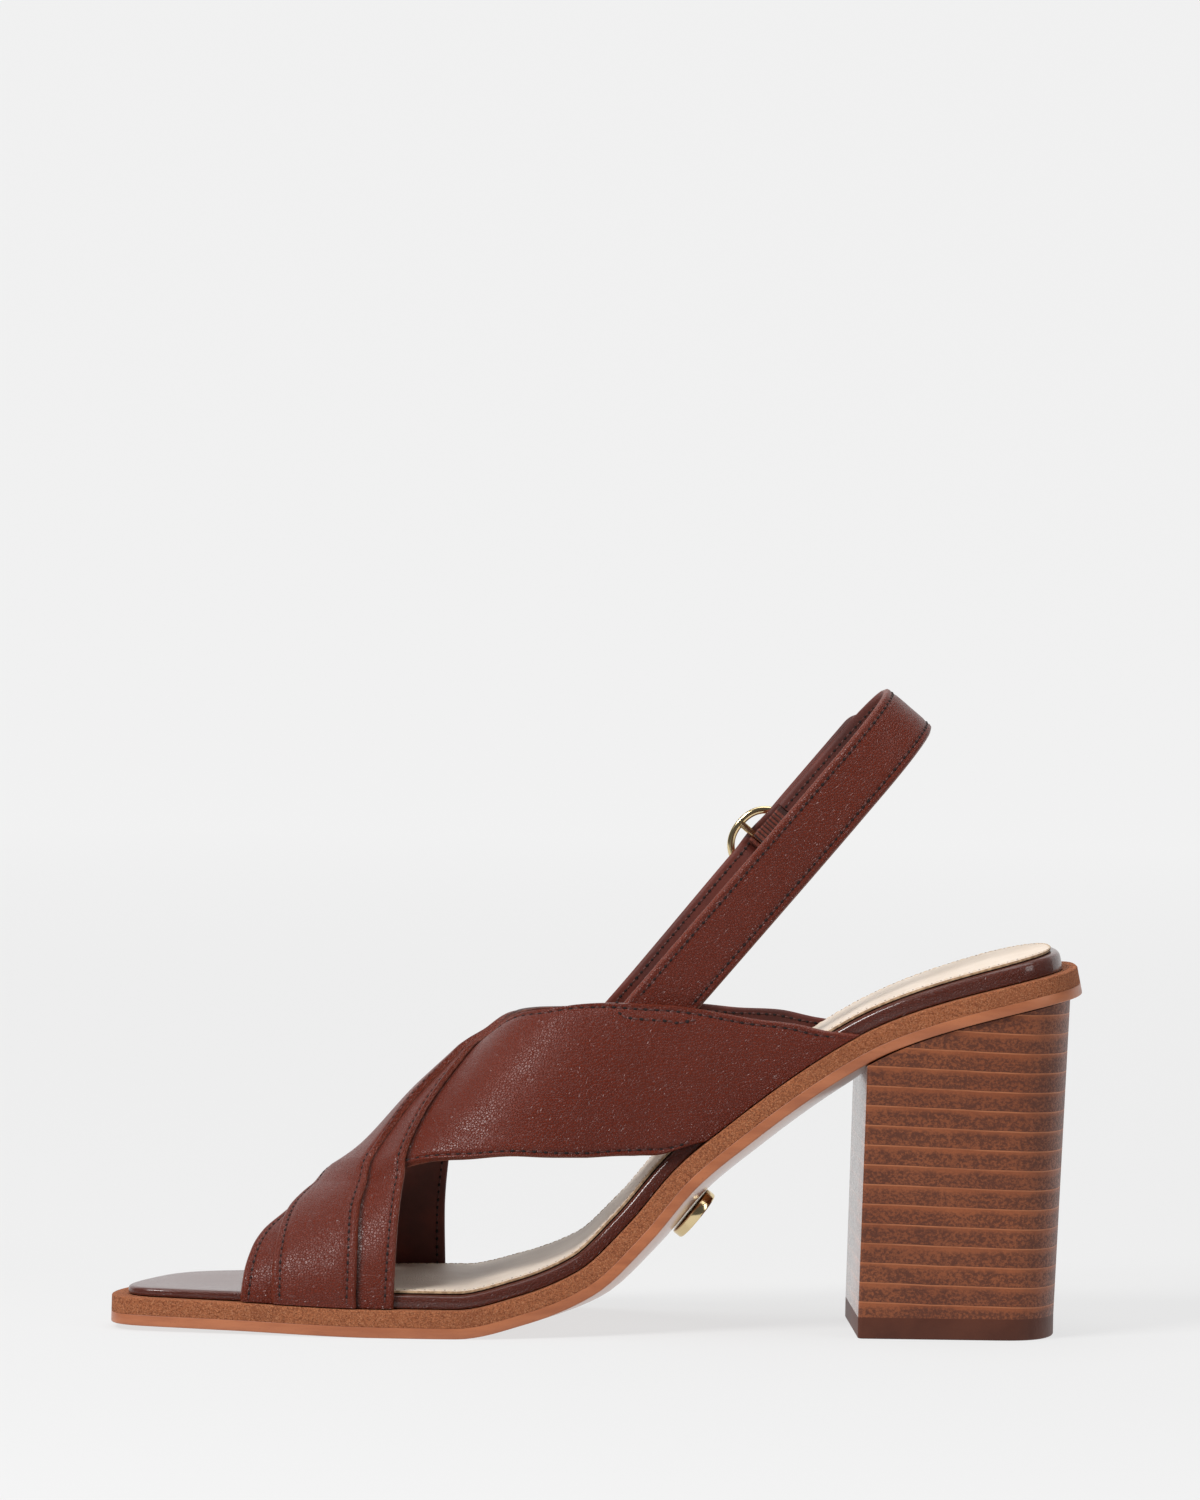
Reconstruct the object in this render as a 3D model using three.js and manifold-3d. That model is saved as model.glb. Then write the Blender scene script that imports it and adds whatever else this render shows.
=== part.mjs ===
// Mid heel sandal, right shoe, EU 38: two wide straps cross over the foot, a sling
// with a ring buckle runs behind the ankle, and a stacked block heel carries the back.
// Millimetres. Toe at -X, heel at +X, inner side of the foot at -Y, +Z up, ground at z = 0.

import * as THREE from 'three';
import { mergeVertices } from 'three/addons/utils/BufferGeometryUtils.js';
import Module from 'manifold-3d';

// Driving sizes of the sole and heel
const SOLE_LENGTH = 234;
const BALL_WIDTH = 80;
const SEAT_HEIGHT = 84.8;
const OUTSOLE_THICKNESS = 2.5;
const WELT_THICKNESS = 3.9;
const INSOLE_THICKNESS = 4.3;
const SOCK_THICKNESS = 0.6;
const WAIST_BULGE = 3.1;
const OBLIQUITY = 0.06;
const TOE_SLANT = 0.42;
const EDGE_ROUND = 0.5;
const LEDGE = 3.6;
const SOCK_MARGIN = 2.0;
const SOCK_FRONT = 55;
const TOE_ROUND = 17;
const BIG_TOE = 0.147 * BALL_WIDTH;
const HEEL_ROUND = 22;
const SOCK_FRONT_ROUND = 8;

const LIFT_THICKNESS = 5.2;
const HEEL_FRONT_BASE = 179.4;
const HEEL_FRONT_TOP = 180.4;
const HEEL_BASE_LENGTH = 49.2;
const HEEL_TOP_LENGTH = 50.7;
const HEEL_BASE_WIDTH = 0.625 * BALL_WIDTH;
const HEEL_TOP_WIDTH = 0.675 * BALL_WIDTH;
const HEEL_BACK_ROUND = 15;
const HEEL_FRONT_ROUND = 1.6;

const BADGE_DIAMETER = 13.4;
const BADGE_THICKNESS = 2.6;
const BADGE_STATION = 136.6;

// Driving sizes of the straps
const INSTEP_HEIGHT = 95;
const RIDGE_OFFSET = 3;
const UNDER_STRAP = 1.8;
const OVER_STRAP = 1.6;
const PANEL_STEP = 1.3;
const PLAIN_STEP = 0.3;
const BOND_DEPTH = 0.3;

// Driving sizes of the sling and its buckle
const SLING_ANGLE = 50.4;
const SLING_FOOT = 0.564;
const SLING_RISE = 1;
const SLING_WIDTH = 14.8;
const SLING_THICKNESS = 2;
const SLING_TUCK = 7;
const SLING_REACH = 92.3;
const SLING_LEATHER_END = 53.6;
const BUCKLE_STRAP_WIDTH = 12.4;
const BUCKLE_STRAP_SHIFT = 1.8;
const BUCKLE_STRAP_THICKNESS = 1.6;
const BUCKLE_STRAP_TIP = 85;
const RING_PLACE = 43.8;
const RING_LENGTH = 19;
const RING_WIDTH = 21.2;
const RING_WALL = 1.9;
const RING_THICKNESS = 1.6;
const RING_SHIFT = 1.5;
const BAR_DIAMETER = 1.8;
const ELASTIC_WIDTH = 10.6;
const ELASTIC_THICKNESS = 0.9;
const PRONG_WIDTH = 1.7;
const PRONG_THICKNESS = 1.2;
const PUNCH_DIAMETER = 1.8;
const PUNCH_SPACING = 9;

// Clearance between pieces that meet on curved faces
const CLEARANCE = 0.3;

// Side profile of the sole: the underside's height as a share of the seat height
const PROFILE = [
  { at: 0, height: 0.0165 },
  { at: 0.07, height: 0.0135 },
  { at: 0.14, height: 0.0095 },
  { at: 0.27, height: 0 },
  { at: 0.36, height: 0 },
  { at: 0.43, height: 0.041 },
  { at: 0.5, height: 0.121 },
  { at: 0.555, height: 0.264 },
  { at: 0.605, height: 0.428 },
  { at: 0.66, height: 0.556 },
  { at: 0.715, height: 0.673 },
  { at: 0.765, height: 0.766 },
  { at: 0.8, height: 0.82 },
  { at: 0.84, height: 0.867 },
  { at: 0.89, height: 0.912 },
  { at: 0.95, height: 0.956 },
  { at: 1, height: 0.985 },
];

// Plan of the sole: half widths as shares of the ball width
const PLAN = [
  { at: 0, inner: 0.35, outer: 0.24 },
  { at: 0.06, inner: 0.385, outer: 0.285 },
  { at: 0.13, inner: 0.425, outer: 0.367 },
  { at: 0.21, inner: 0.47, outer: 0.42 },
  { at: 0.28, inner: 0.495, outer: 0.462 },
  { at: 0.335, inner: 0.5, outer: 0.486 },
  { at: 0.39, inner: 0.488, outer: 0.5 },
  { at: 0.45, inner: 0.445, outer: 0.5 },
  { at: 0.52, inner: 0.375, outer: 0.47 },
  { at: 0.6, inner: 0.318, outer: 0.42 },
  { at: 0.68, inner: 0.298, outer: 0.378 },
  { at: 0.76, inner: 0.315, outer: 0.358 },
  { at: 0.85, inner: 0.345, outer: 0.36 },
  { at: 0.93, inner: 0.352, outer: 0.362 },
  { at: 1, inner: 0.34, outer: 0.35 },
];

// Padding of the wrapped insole along the foot, as a share of its thickness
const PADDING = [
  { at: 0, depth: 0.4 },
  { at: 0.13, depth: 0.48 },
  { at: 0.3, depth: 0.74 },
  { at: 0.6, depth: 0.72 },
  { at: 0.8, depth: 0.86 },
  { at: 1, depth: 1.05 },
];

// Top line of the foot over which the straps are lasted, as a share of the instep height
const RIDGE = [
  { at: 0, height: 0.2 },
  { at: 0.115, height: 0.238 },
  { at: 0.167, height: 0.281 },
  { at: 0.218, height: 0.341 },
  { at: 0.258, height: 0.406 },
  { at: 0.3205, height: 0.573 },
  { at: 0.362, height: 0.671 },
  { at: 0.4145, height: 0.804 },
  { at: 0.5, height: 0.992 },
  { at: 0.585, height: 1.137 },
  { at: 0.671, height: 1.253 },
  { at: 0.765, height: 1.358 },
  { at: 0.885, height: 1.45 },
  { at: 1, height: 1.5 },
];

// Strap that runs from the inner side of the toes to the outer side of the waist. Each row
// is a section around the foot, from the inner sole edge (0) to the outer one (1), and its
// lengths are shares of the sole: front edge, front and rear folds of the raised panel, rear.
const OVER_STRAP_EDGES = [
  { at: 0, front: 0.128, panelFront: 0.161, panelRear: 0.247, rear: 0.285 },
  { at: 0.12, front: 0.132, panelFront: 0.162, panelRear: 0.249, rear: 0.288 },
  { at: 0.23, front: 0.14, panelFront: 0.167, panelRear: 0.252, rear: 0.294 },
  { at: 0.31, front: 0.152, panelFront: 0.173, panelRear: 0.26, rear: 0.305 },
  { at: 0.38, front: 0.172, panelFront: 0.181, panelRear: 0.275, rear: 0.325 },
  { at: 0.44, front: 0.189, panelFront: 0.193, panelRear: 0.308, rear: 0.35 },
  { at: 0.5, front: 0.206, panelFront: 0.209, panelRear: 0.362, rear: 0.378 },
  { at: 0.56, front: 0.225, panelFront: 0.228, panelRear: 0.403, rear: 0.408 },
  { at: 0.64, front: 0.252, panelFront: 0.255, panelRear: 0.436, rear: 0.439 },
  { at: 0.69, front: 0.275, panelFront: 0.278, panelRear: 0.463, rear: 0.466 },
  { at: 0.734, front: 0.302, panelFront: 0.305, panelRear: 0.5, rear: 0.503 },
  { at: 0.78, front: 0.35, panelFront: 0.353, panelRear: 0.539, rear: 0.542 },
  { at: 0.85, front: 0.425, panelFront: 0.428, panelRear: 0.6055, rear: 0.6085 },
  { at: 0.887, front: 0.483, panelFront: 0.486, panelRear: 0.643, rear: 0.646 },
  { at: 0.929, front: 0.526, panelFront: 0.529, panelRear: 0.69, rear: 0.693 },
  { at: 0.967, front: 0.564, panelFront: 0.567, panelRear: 0.727, rear: 0.73 },
  { at: 1, front: 0.615, panelFront: 0.618, panelRear: 0.765, rear: 0.768 },
];

// Strap that runs under it, from the inner side of the waist to the outer side of the toes
const UNDER_STRAP_EDGES = [
  { at: 0, front: 0.605, rear: 0.763 },
  { at: 0.024, front: 0.566, rear: 0.732 },
  { at: 0.058, front: 0.534, rear: 0.699 },
  { at: 0.097, front: 0.493, rear: 0.659 },
  { at: 0.143, front: 0.432, rear: 0.617 },
  { at: 0.181, front: 0.388, rear: 0.584 },
  { at: 0.22, front: 0.347, rear: 0.553 },
  { at: 0.257, front: 0.314, rear: 0.525 },
  { at: 0.309, front: 0.282, rear: 0.486 },
  { at: 0.364, front: 0.26, rear: 0.447 },
  { at: 0.439, front: 0.238, rear: 0.414 },
  { at: 0.5, front: 0.224, rear: 0.382 },
  { at: 0.6, front: 0.208, rear: 0.364 },
  { at: 0.7, front: 0.196, rear: 0.354 },
  { at: 0.8, front: 0.187, rear: 0.347 },
  { at: 0.9, front: 0.179, rear: 0.343 },
  { at: 1, front: 0.175, rear: 0.345 },
];

// Sling seen from above its own plane: distance up the strap as a share of its reach,
// and the half gap between its branches as a share of the ball width
const SLING_INNER = [
  { at: -0.076, half: 0.25 },
  { at: 0, half: 0.231 },
  { at: 0.16, half: 0.241 },
  { at: 0.38, half: 0.261 },
  { at: 0.6, half: 0.271 },
  { at: 0.74, half: 0.264 },
];
const SLING_MIDDLE = 0.026 * BALL_WIDTH;
const OUTER_STRAP_HALF = 0.235 * BALL_WIDTH;
const SLING_BEND = 0.74;

// Rounded tip of the buckle strap: distance back from the tip and width, as shares of the
// strap's width
const STRAP_TIP = [
  { back: 0.55, width: 1 },
  { back: 0.36, width: 0.96 },
  { back: 0.18, width: 0.8 },
  { back: 0.06, width: 0.58 },
  { back: 0, width: 0.36 },
];

// Samples along the pieces
const BODY_STEPS = 26;
const END_STEPS = 6;
const STRAP_STEPS = 44;

// Number helpers
const mix = (a, b, t) => a + (b - a) * t;

function fade(from, to, x) {
  const t = Math.min(1, Math.max(0, (x - from) / (to - from)));
  return t * t * (3 - 2 * t);
}

// Smooth curve through a table's rows that never overshoots them
function curveThrough(places, values) {
  const last = places.length - 1;
  const gap = places.slice(1).map((p, i) => p - places[i]);
  const rise = gap.map((g, i) => (values[i + 1] - values[i]) / g);
  const tangent = places.map((p, i) => {
    if (i === 0) return rise[0];
    if (i === last) return rise[last - 1];
    if (rise[i - 1] * rise[i] <= 0) return 0;
    const a = 2 * gap[i] + gap[i - 1];
    const b = gap[i] + 2 * gap[i - 1];
    return (a + b) / (a / rise[i - 1] + b / rise[i]);
  });
  return (x) => {
    if (x <= places[0]) return values[0] + tangent[0] * (x - places[0]);
    if (x >= places[last]) return values[last] + tangent[last] * (x - places[last]);
    let i = 0;
    while (x > places[i + 1]) i += 1;
    const t = (x - places[i]) / gap[i];
    return (1 + 2 * t) * (1 - t) ** 2 * values[i] + t * (1 - t) ** 2 * gap[i] * tangent[i]
      + t * t * (3 - 2 * t) * values[i + 1] + t * t * (t - 1) * gap[i] * tangent[i + 1];
  };
}

// Place along the sole's length, from the toe, as an x coordinate
const alongSole = (distance) => distance - SOLE_LENGTH / 2;

function soleCurve(rows, column, scale) {
  return curveThrough(rows.map((r) => alongSole(r.at * SOLE_LENGTH)), rows.map((r) => r[column] * scale));
}

function shareCurve(rows, column, scale) {
  return curveThrough(rows.map((r) => r.at), rows.map((r) => r[column] * scale));
}

const profile = soleCurve(PROFILE, 'height', SEAT_HEIGHT);
const innerHalf = soleCurve(PLAN, 'inner', BALL_WIDTH);
const outerHalf = soleCurve(PLAN, 'outer', BALL_WIDTH);
const padding = soleCurve(PADDING, 'depth', INSOLE_THICKNESS);
const ridge = soleCurve(RIDGE, 'height', INSTEP_HEIGHT);

// Levels of the sole's layers, measured square to its underside
const WELT_LEVEL = OUTSOLE_THICKNESS + CLEARANCE;
const WELT_TOP = WELT_LEVEL + WELT_THICKNESS;
const SEAT_LEVEL = WELT_TOP + CLEARANCE;

const tilt = (s) => Math.atan((profile(s + 0.05) - profile(s - 0.05)) / 0.1);

// The sole is rolled a little askew between the ball and the front of the heel, and the
// front of the toes slants back from the big toe
const rollShare = (s) => fade(-0.36 * SOLE_LENGTH, -0.145 * SOLE_LENGTH, s)
  * (1 - fade(0.27 * SOLE_LENGTH, 0.44 * SOLE_LENGTH, s));
const slantShare = (s) => 1 - fade(-0.5 * SOLE_LENGTH, -0.2 * SOLE_LENGTH, s);
const skewed = (s, y) => OBLIQUITY * rollShare(s) * y + TOE_SLANT * slantShare(s) * (y + BIG_TOE);

// Point of the sole at station s, across it at y, and at a level above its underside
function solePoint(s, y, level) {
  const a = tilt(s);
  return new THREE.Vector3(s - Math.sin(a) * level + skewed(s, y), y, profile(s) + Math.cos(a) * level);
}

function stationUnder(x, y, level) {
  let s = x;
  for (let i = 0; i < 40; i += 1) s += 0.7 * (x - (s - Math.sin(tilt(s)) * level + skewed(s, y)));
  return s;
}

function soleHeight(x, y, level) {
  const s = stationUnder(x, y, level);
  return profile(s) + Math.cos(tilt(s)) * level;
}

// Rounded underside between the ball and the heel
const bulge = (s) => WAIST_BULGE
  * fade(-0.14 * SOLE_LENGTH, 0.02 * SOLE_LENGTH, s) * (1 - fade(0.25 * SOLE_LENGTH, 0.34 * SOLE_LENGTH, s));

function undersideHeight(x, y) {
  const s = stationUnder(x, y, 0);
  const half = y < 0 ? innerHalf(s) : outerHalf(s);
  const across = Math.min(1, Math.abs(y) / (half - EDGE_ROUND));
  return soleHeight(x, y, -bulge(s) * (1 - across * across));
}

// Closed solid from a stack of rings with equally many points. Partner points across each
// end ring are joined by a ladder; with tips, the ring's first point is a tip of its own.
function loft(rings, { tips = false } = {}) {
  const count = rings[0].length;
  const positions = rings.flat().flatMap((p) => [p.x, p.y, p.z]);
  const index = [];
  for (let i = 0; i + 1 < rings.length; i += 1) {
    for (let j = 0; j < count; j += 1) {
      const a = i * count + j;
      const b = i * count + ((j + 1) % count);
      index.push(a, b, b + count, a, b + count, a + count);
    }
  }
  const partner = (j) => (count - (tips ? 0 : 1) - j + count) % count;
  const top = (rings.length - 1) * count;
  for (let j = 0; j < count / 2; j += 1) {
    const corners = [j, j + 1, partner(j + 1), partner(j)];
    if (j + 1 > count / 2 - (tips ? 0 : 1)) break;
    const [a, b, c, d] = corners;
    index.push(a, c, b, a, d, c);
    index.push(top + a, top + b, top + c, top + a, top + c, top + d);
  }
  return closedGeometry(positions, index);
}

// Merges shared corners, drops triangles that shrink to a line and turns all faces outwards
function closedGeometry(positions, index) {
  const raw = new THREE.BufferGeometry();
  raw.setAttribute('position', new THREE.Float32BufferAttribute(positions, 3));
  raw.setIndex(index);
  const merged = mergeVertices(raw, 1e-3);
  const p = merged.attributes.position;
  const kept = [];
  const [a, b, c] = [new THREE.Vector3(), new THREE.Vector3(), new THREE.Vector3()];
  let volume = 0;
  for (let i = 0; i < merged.index.count; i += 3) {
    const t = [0, 1, 2].map((k) => merged.index.getX(i + k));
    if (t[0] === t[1] || t[1] === t[2] || t[2] === t[0]) continue;
    kept.push(t);
    a.fromBufferAttribute(p, t[0]);
    b.fromBufferAttribute(p, t[1]);
    c.fromBufferAttribute(p, t[2]);
    volume += a.dot(b.cross(c)) / 6;
  }
  const turned = volume < 0 ? kept.map((t) => [t[0], t[2], t[1]]) : kept;
  const solid = new THREE.BufferGeometry();
  solid.setAttribute('position', p.clone());
  solid.setIndex(turned.flat());
  solid.computeVertexNormals();
  return solid;
}

// Joining and cutting of closed solids
const wasm = await Module();
wasm.setup();

function asSolid(geometry) {
  const bare = geometry.clone();
  for (const name of Object.keys(bare.attributes)) if (name !== 'position') bare.deleteAttribute(name);
  const merged = mergeVertices(bare, 1e-4);
  return new wasm.Manifold(new wasm.Mesh({
    numProp: 3,
    vertProperties: new Float32Array(merged.attributes.position.array),
    triVerts: new Uint32Array(merged.index.array),
  }));
}

function asGeometry(solid) {
  const mesh = solid.getMesh();
  const geometry = new THREE.BufferGeometry();
  geometry.setAttribute('position', new THREE.Float32BufferAttribute(mesh.vertProperties, 3));
  geometry.setIndex(Array.from(mesh.triVerts));
  geometry.computeVertexNormals();
  return geometry;
}

const joined = (...parts) => asGeometry(parts.map(asSolid).reduce((all, next) => all.add(next)));
const cutBy = (body, ...tools) => asGeometry(tools.map(asSolid).reduce((all, next) => all.subtract(next), asSolid(body)));

// Half of a rounded end: distances in from the tip, and the share of full width there
function endSteps(radius, power, steps) {
  return Array.from({ length: steps }, (unused, i) => {
    const angle = (i / steps) * Math.PI / 2;
    return { run: radius * (1 - Math.cos(angle) ** (2 / power)), width: Math.sin(angle) ** (2 / power) };
  });
}

// Plan of a sole layer as stations along it with the share of its width that its round
// ends leave. Both ends are drawn in by the inset.
function planStations({ front, back, inset, frontRound, backRound, frontPower = 3, backPower = 2.7 }) {
  const start = front + inset;
  const end = back - inset;
  const toe = endSteps(Math.max(1, frontRound - inset), frontPower, END_STEPS);
  const heel = endSteps(Math.max(1, backRound - inset), backPower, END_STEPS);
  const bodyStart = start + Math.max(1, frontRound - inset);
  const bodyEnd = end - Math.max(1, backRound - inset);
  const body = Array.from({ length: BODY_STEPS + 1 }, (unused, i) => (
    { s: mix(bodyStart, bodyEnd, i / BODY_STEPS), width: 1 }));
  return [
    ...toe.map((e) => ({ s: start + e.run, width: e.width })),
    ...body,
    ...heel.map((e) => ({ s: end - e.run, width: e.width })).reverse(),
  ];
}

const FULL_SOLE = {
  front: -SOLE_LENGTH / 2, back: SOLE_LENGTH / 2, frontRound: TOE_ROUND, backRound: HEEL_ROUND,
};

// One ring of a sole layer. Level may follow the station; squeeze narrows the ring to a
// share of its width, to shape the faces above or below.
function soleRing({ plan = FULL_SOLE, inset, level, squeeze = 1 }) {
  const stations = planStations({ ...plan, inset });
  const height = typeof level === 'function' ? level : () => level;
  const point = (station, side) => {
    const half = (side < 0 ? innerHalf(station.s) : outerHalf(station.s)) - inset;
    return solePoint(station.s, side * half * station.width * squeeze, height(station.s));
  };
  const inner = stations.map((station) => point(station, -1));
  const outer = stations.slice(1, -1).map((station) => point(station, 1)).reverse();
  return [...inner, ...outer];
}

// Smooth leather outsole: flat under the ball, rounded under the waist
function outsole() {
  const shares = [0.78, 0.52, 0.26];
  return loft([
    soleRing({ inset: 0.2, level: OUTSOLE_THICKNESS }),
    soleRing({ inset: 0, level: OUTSOLE_THICKNESS - 0.3 }),
    soleRing({ inset: 0, level: EDGE_ROUND }),
    soleRing({ inset: EDGE_ROUND, level: 0 }),
    ...shares.map((share) => soleRing({
      inset: EDGE_ROUND, squeeze: share, level: (s) => -bulge(s) * (1 - share * share),
    })),
  ], { tips: true });
}

// Rough edged welt between the outsole and the insole
function welt() {
  return loft([
    soleRing({ inset: 0.2, level: WELT_LEVEL }),
    soleRing({ inset: 0, level: WELT_LEVEL + 0.3 }),
    soleRing({ inset: 0, level: WELT_TOP - EDGE_ROUND }),
    soleRing({ inset: EDGE_ROUND, level: WELT_TOP }),
  ], { tips: true });
}

// Padded insole wrapped in dark leather, with a soft upper edge
function insole() {
  const folds = [
    { inset: 0, depth: 0 },
    { inset: 0, depth: 0.66 },
    { inset: 0.35, depth: 0.88 },
    { inset: 1.0, depth: 0.98 },
    { inset: 2.0, depth: 1 },
  ];
  return loft(folds.map((fold) => soleRing({
    inset: LEDGE + fold.inset, level: (s) => SEAT_LEVEL + padding(s) * fold.depth,
  })), { tips: true });
}

// Pale sock that lines the insole behind the toes
function sockLining() {
  const plan = {
    front: alongSole(SOCK_FRONT),
    back: SOLE_LENGTH / 2 - LEDGE - SOCK_MARGIN,
    frontRound: SOCK_FRONT_ROUND,
    backRound: HEEL_ROUND - LEDGE - SOCK_MARGIN,
  };
  const bed = (rise) => (s) => SEAT_LEVEL + padding(s) + CLEARANCE + rise;
  const ring = (rise) => {
    const stations = planStations({ ...plan, inset: 0 });
    const point = (station, side) => {
      const half = (side < 0 ? innerHalf(station.s) : outerHalf(station.s)) - LEDGE - SOCK_MARGIN;
      return solePoint(station.s, side * half * station.width, bed(rise)(station.s));
    };
    const inner = stations.map((station) => point(station, -1));
    return [...inner, ...stations.slice(1, -1).map((station) => point(station, 1)).reverse()];
  };
  return loft([ring(0), ring(SOCK_THICKNESS)], { tips: true });
}

// Plan of the heel at a share of its height: square front, rounded back
function heelRing(share, squeeze, height) {
  const front = alongSole(mix(HEEL_FRONT_BASE, HEEL_FRONT_TOP, share));
  const length = mix(HEEL_BASE_LENGTH, HEEL_TOP_LENGTH, share);
  const half = mix(HEEL_BASE_WIDTH, HEEL_TOP_WIDTH, share) / 2;
  const frontEnd = [
    { run: 0, width: (half - HEEL_FRONT_ROUND) / half },
    { run: HEEL_FRONT_ROUND * 0.3, width: (half - HEEL_FRONT_ROUND * 0.3) / half },
    { run: HEEL_FRONT_ROUND, width: 1 },
  ];
  const sides = [0.3, 0.5].map((t) => ({ run: length * t, width: 1 }));
  const back = endSteps(HEEL_BACK_ROUND, 2.5, END_STEPS).map((e) => ({ run: length - e.run, width: e.width }));
  const full = { run: length - HEEL_BACK_ROUND, width: 1 };
  const stations = [...frontEnd, ...sides, full, ...back.reverse()];
  const point = (station, side) => {
    const x = front + station.run;
    const y = side * half * station.width * squeeze;
    return new THREE.Vector3(x, y, height(x, y));
  };
  const inner = stations.map((station) => point(station, -1));
  const outer = stations.slice(0, -1).map((station) => point(station, 1)).reverse();
  return [...inner, ...outer];
}

// Space the sole takes up over the heel, a clearance deeper than the sole itself
function seatSpace() {
  const rings = [0.78, 0.52, 0.26].map((share) => soleRing({
    inset: EDGE_ROUND, squeeze: share, level: (s) => -bulge(s) * (1 - share * share) - CLEARANCE,
  }));
  return loft([
    soleRing({ inset: -2, level: 3 * OUTSOLE_THICKNESS }),
    soleRing({ inset: -2, level: -CLEARANCE }),
    soleRing({ inset: EDGE_ROUND, level: -CLEARANCE }),
    ...rings,
  ], { tips: true });
}

// Stacked heel, cut at the top to the sole's underside
function heelBlock() {
  const seat = (x, y) => undersideHeight(x, y) + OUTSOLE_THICKNESS;
  const block = heelLoft([
    heelRing(0, 1, () => LIFT_THICKNESS),
    heelRing(1, 1, seat),
  ]);
  return cutBy(block, seatSpace());
}

function topLift() {
  const edge = 0.4;
  const shrunk = (ring) => ring.map((p) => {
    const middle = alongSole(HEEL_FRONT_BASE + HEEL_BASE_LENGTH / 2);
    const scaleX = 1 - (2 * edge) / HEEL_BASE_LENGTH;
    const scaleY = 1 - (2 * edge) / HEEL_BASE_WIDTH;
    return new THREE.Vector3(middle + (p.x - middle) * scaleX, p.y * scaleY, p.z);
  });
  return heelLoft([
    shrunk(heelRing(0, 1, () => 0)),
    heelRing(0, 1, () => edge),
    heelRing(0, 1, () => LIFT_THICKNESS),
  ]);
}

// The heel's rings have an odd number of points: one tip at the back, none at the front
function heelLoft(rings) {
  const tipLast = rings.map((ring) => {
    const tip = (ring.length - 1) / 2;
    const front = ring[0].clone().add(ring[ring.length - 1]).multiplyScalar(0.5);
    return [...ring.slice(0, tip + 1), ...ring.slice(tip + 1), front];
  });
  const count = tipLast[0].length;
  const turned = tipLast.map((ring) => [ring[count - 1], ...ring.slice(0, count - 1)]);
  return loft(turned, { tips: true });
}

// Plain metal disc under the waist
function badge() {
  const r = BADGE_DIAMETER / 2;
  const round = 0.7;
  const outline = [
    [0, 0], [r - 0.4, 0], [r, 0.4], [r, BADGE_THICKNESS - round],
    [r - 0.25 * round, BADGE_THICKNESS - 0.3 * round], [r - round, BADGE_THICKNESS],
    [r - 2.2, BADGE_THICKNESS], [r - 2.6, BADGE_THICKNESS - 0.35], [0, BADGE_THICKNESS - 0.35],
  ];
  const disc = new THREE.LatheGeometry(outline.map(([x, y]) => new THREE.Vector2(x, y)), 32);
  disc.deleteAttribute('normal');
  disc.deleteAttribute('uv');
  const merged = mergeVertices(disc, 1e-3);
  return closedGeometry(Array.from(merged.attributes.position.array), Array.from(merged.index.array));
}

// Half width of the foot at x, just clear of the insole's side, and where it meets the welt
function footEdge(x, side) {
  const half = side < 0 ? innerHalf : outerHalf;
  const widths = [SEAT_LEVEL, SEAT_LEVEL + INSOLE_THICKNESS].map((level) => {
    let width = BALL_WIDTH * 0.375;
    for (let i = 0; i < 5; i += 1) width = half(stationUnder(x, side * width, level)) - LEDGE + CLEARANCE;
    return width;
  });
  const width = Math.max(...widths);
  return { width, height: soleHeight(x, side * width, SEAT_LEVEL) };
}

// Surface of the foot: x along it, and a share around it from the inner sole edge over
// the ridge to the outer one
const ROUNDNESS = 0.93;

function footPoint(x, around) {
  const side = around < 0.5 ? -1 : 1;
  const { width, height } = footEdge(x, side);
  const c = Math.abs(Math.cos(Math.PI * around)) ** ROUNDNESS;
  const h = Math.abs(Math.sin(Math.PI * around)) ** ROUNDNESS;
  return new THREE.Vector3(x, -RIDGE_OFFSET * (1 - c) + side * width * c, height + (ridge(x) - height) * h);
}

// Leather laid over the foot at a distance from its surface. At the sole it stands upright
// on the welt.
function leatherPoint(x, around, distance) {
  const p = footPoint(x, around);
  if (around <= 0 || around >= 1) {
    const y = p.y + (around <= 0 ? -distance : distance);
    return new THREE.Vector3(x, y, soleHeight(x, y, SEAT_LEVEL));
  }
  const step = 0.004;
  const alongX = footPoint(x + 0.5, around).sub(footPoint(x - 0.5, around));
  const aroundFoot = footPoint(x, Math.min(1, around + step)).sub(footPoint(x, Math.max(0, around - step)));
  const normal = alongX.cross(aroundFoot).normalize();
  if (normal.dot(new THREE.Vector3(0, p.y, 1)) < 0) normal.negate();
  return p.addScaledVector(normal, distance);
}

const strapStations = Array.from({ length: STRAP_STEPS + 1 }, (unused, i) => {
  const t = i / STRAP_STEPS;
  return mix(t, (1 - Math.cos(Math.PI * t)) / 2, 0.5);
});

const atFoot = (rows, column) => {
  const share = shareCurve(rows, column, 1);
  return (around) => alongSole(share(around) * SOLE_LENGTH);
};

const underFront = atFoot(UNDER_STRAP_EDGES, 'front');
const underRear = atFoot(UNDER_STRAP_EDGES, 'rear');
const overFront = atFoot(OVER_STRAP_EDGES, 'front');
const overRear = atFoot(OVER_STRAP_EDGES, 'rear');
const panelFront = atFoot(OVER_STRAP_EDGES, 'panelFront');
const panelRear = atFoot(OVER_STRAP_EDGES, 'panelRear');

// A strap as rings: its outer face from front to rear, then its inner face back again
function strapRings(columnsAt, innerDistance) {
  return strapStations.map((around) => {
    const columns = columnsAt(around);
    const outer = columns.map((c) => leatherPoint(c.x, around, c.distance));
    const inner = columns.map((c) => leatherPoint(c.x, around, innerDistance)).reverse();
    return [...outer, ...inner];
  });
}

const spread = (from, to, parts) => Array.from({ length: parts + 1 }, (unused, i) => mix(from, to, i / parts));

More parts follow.
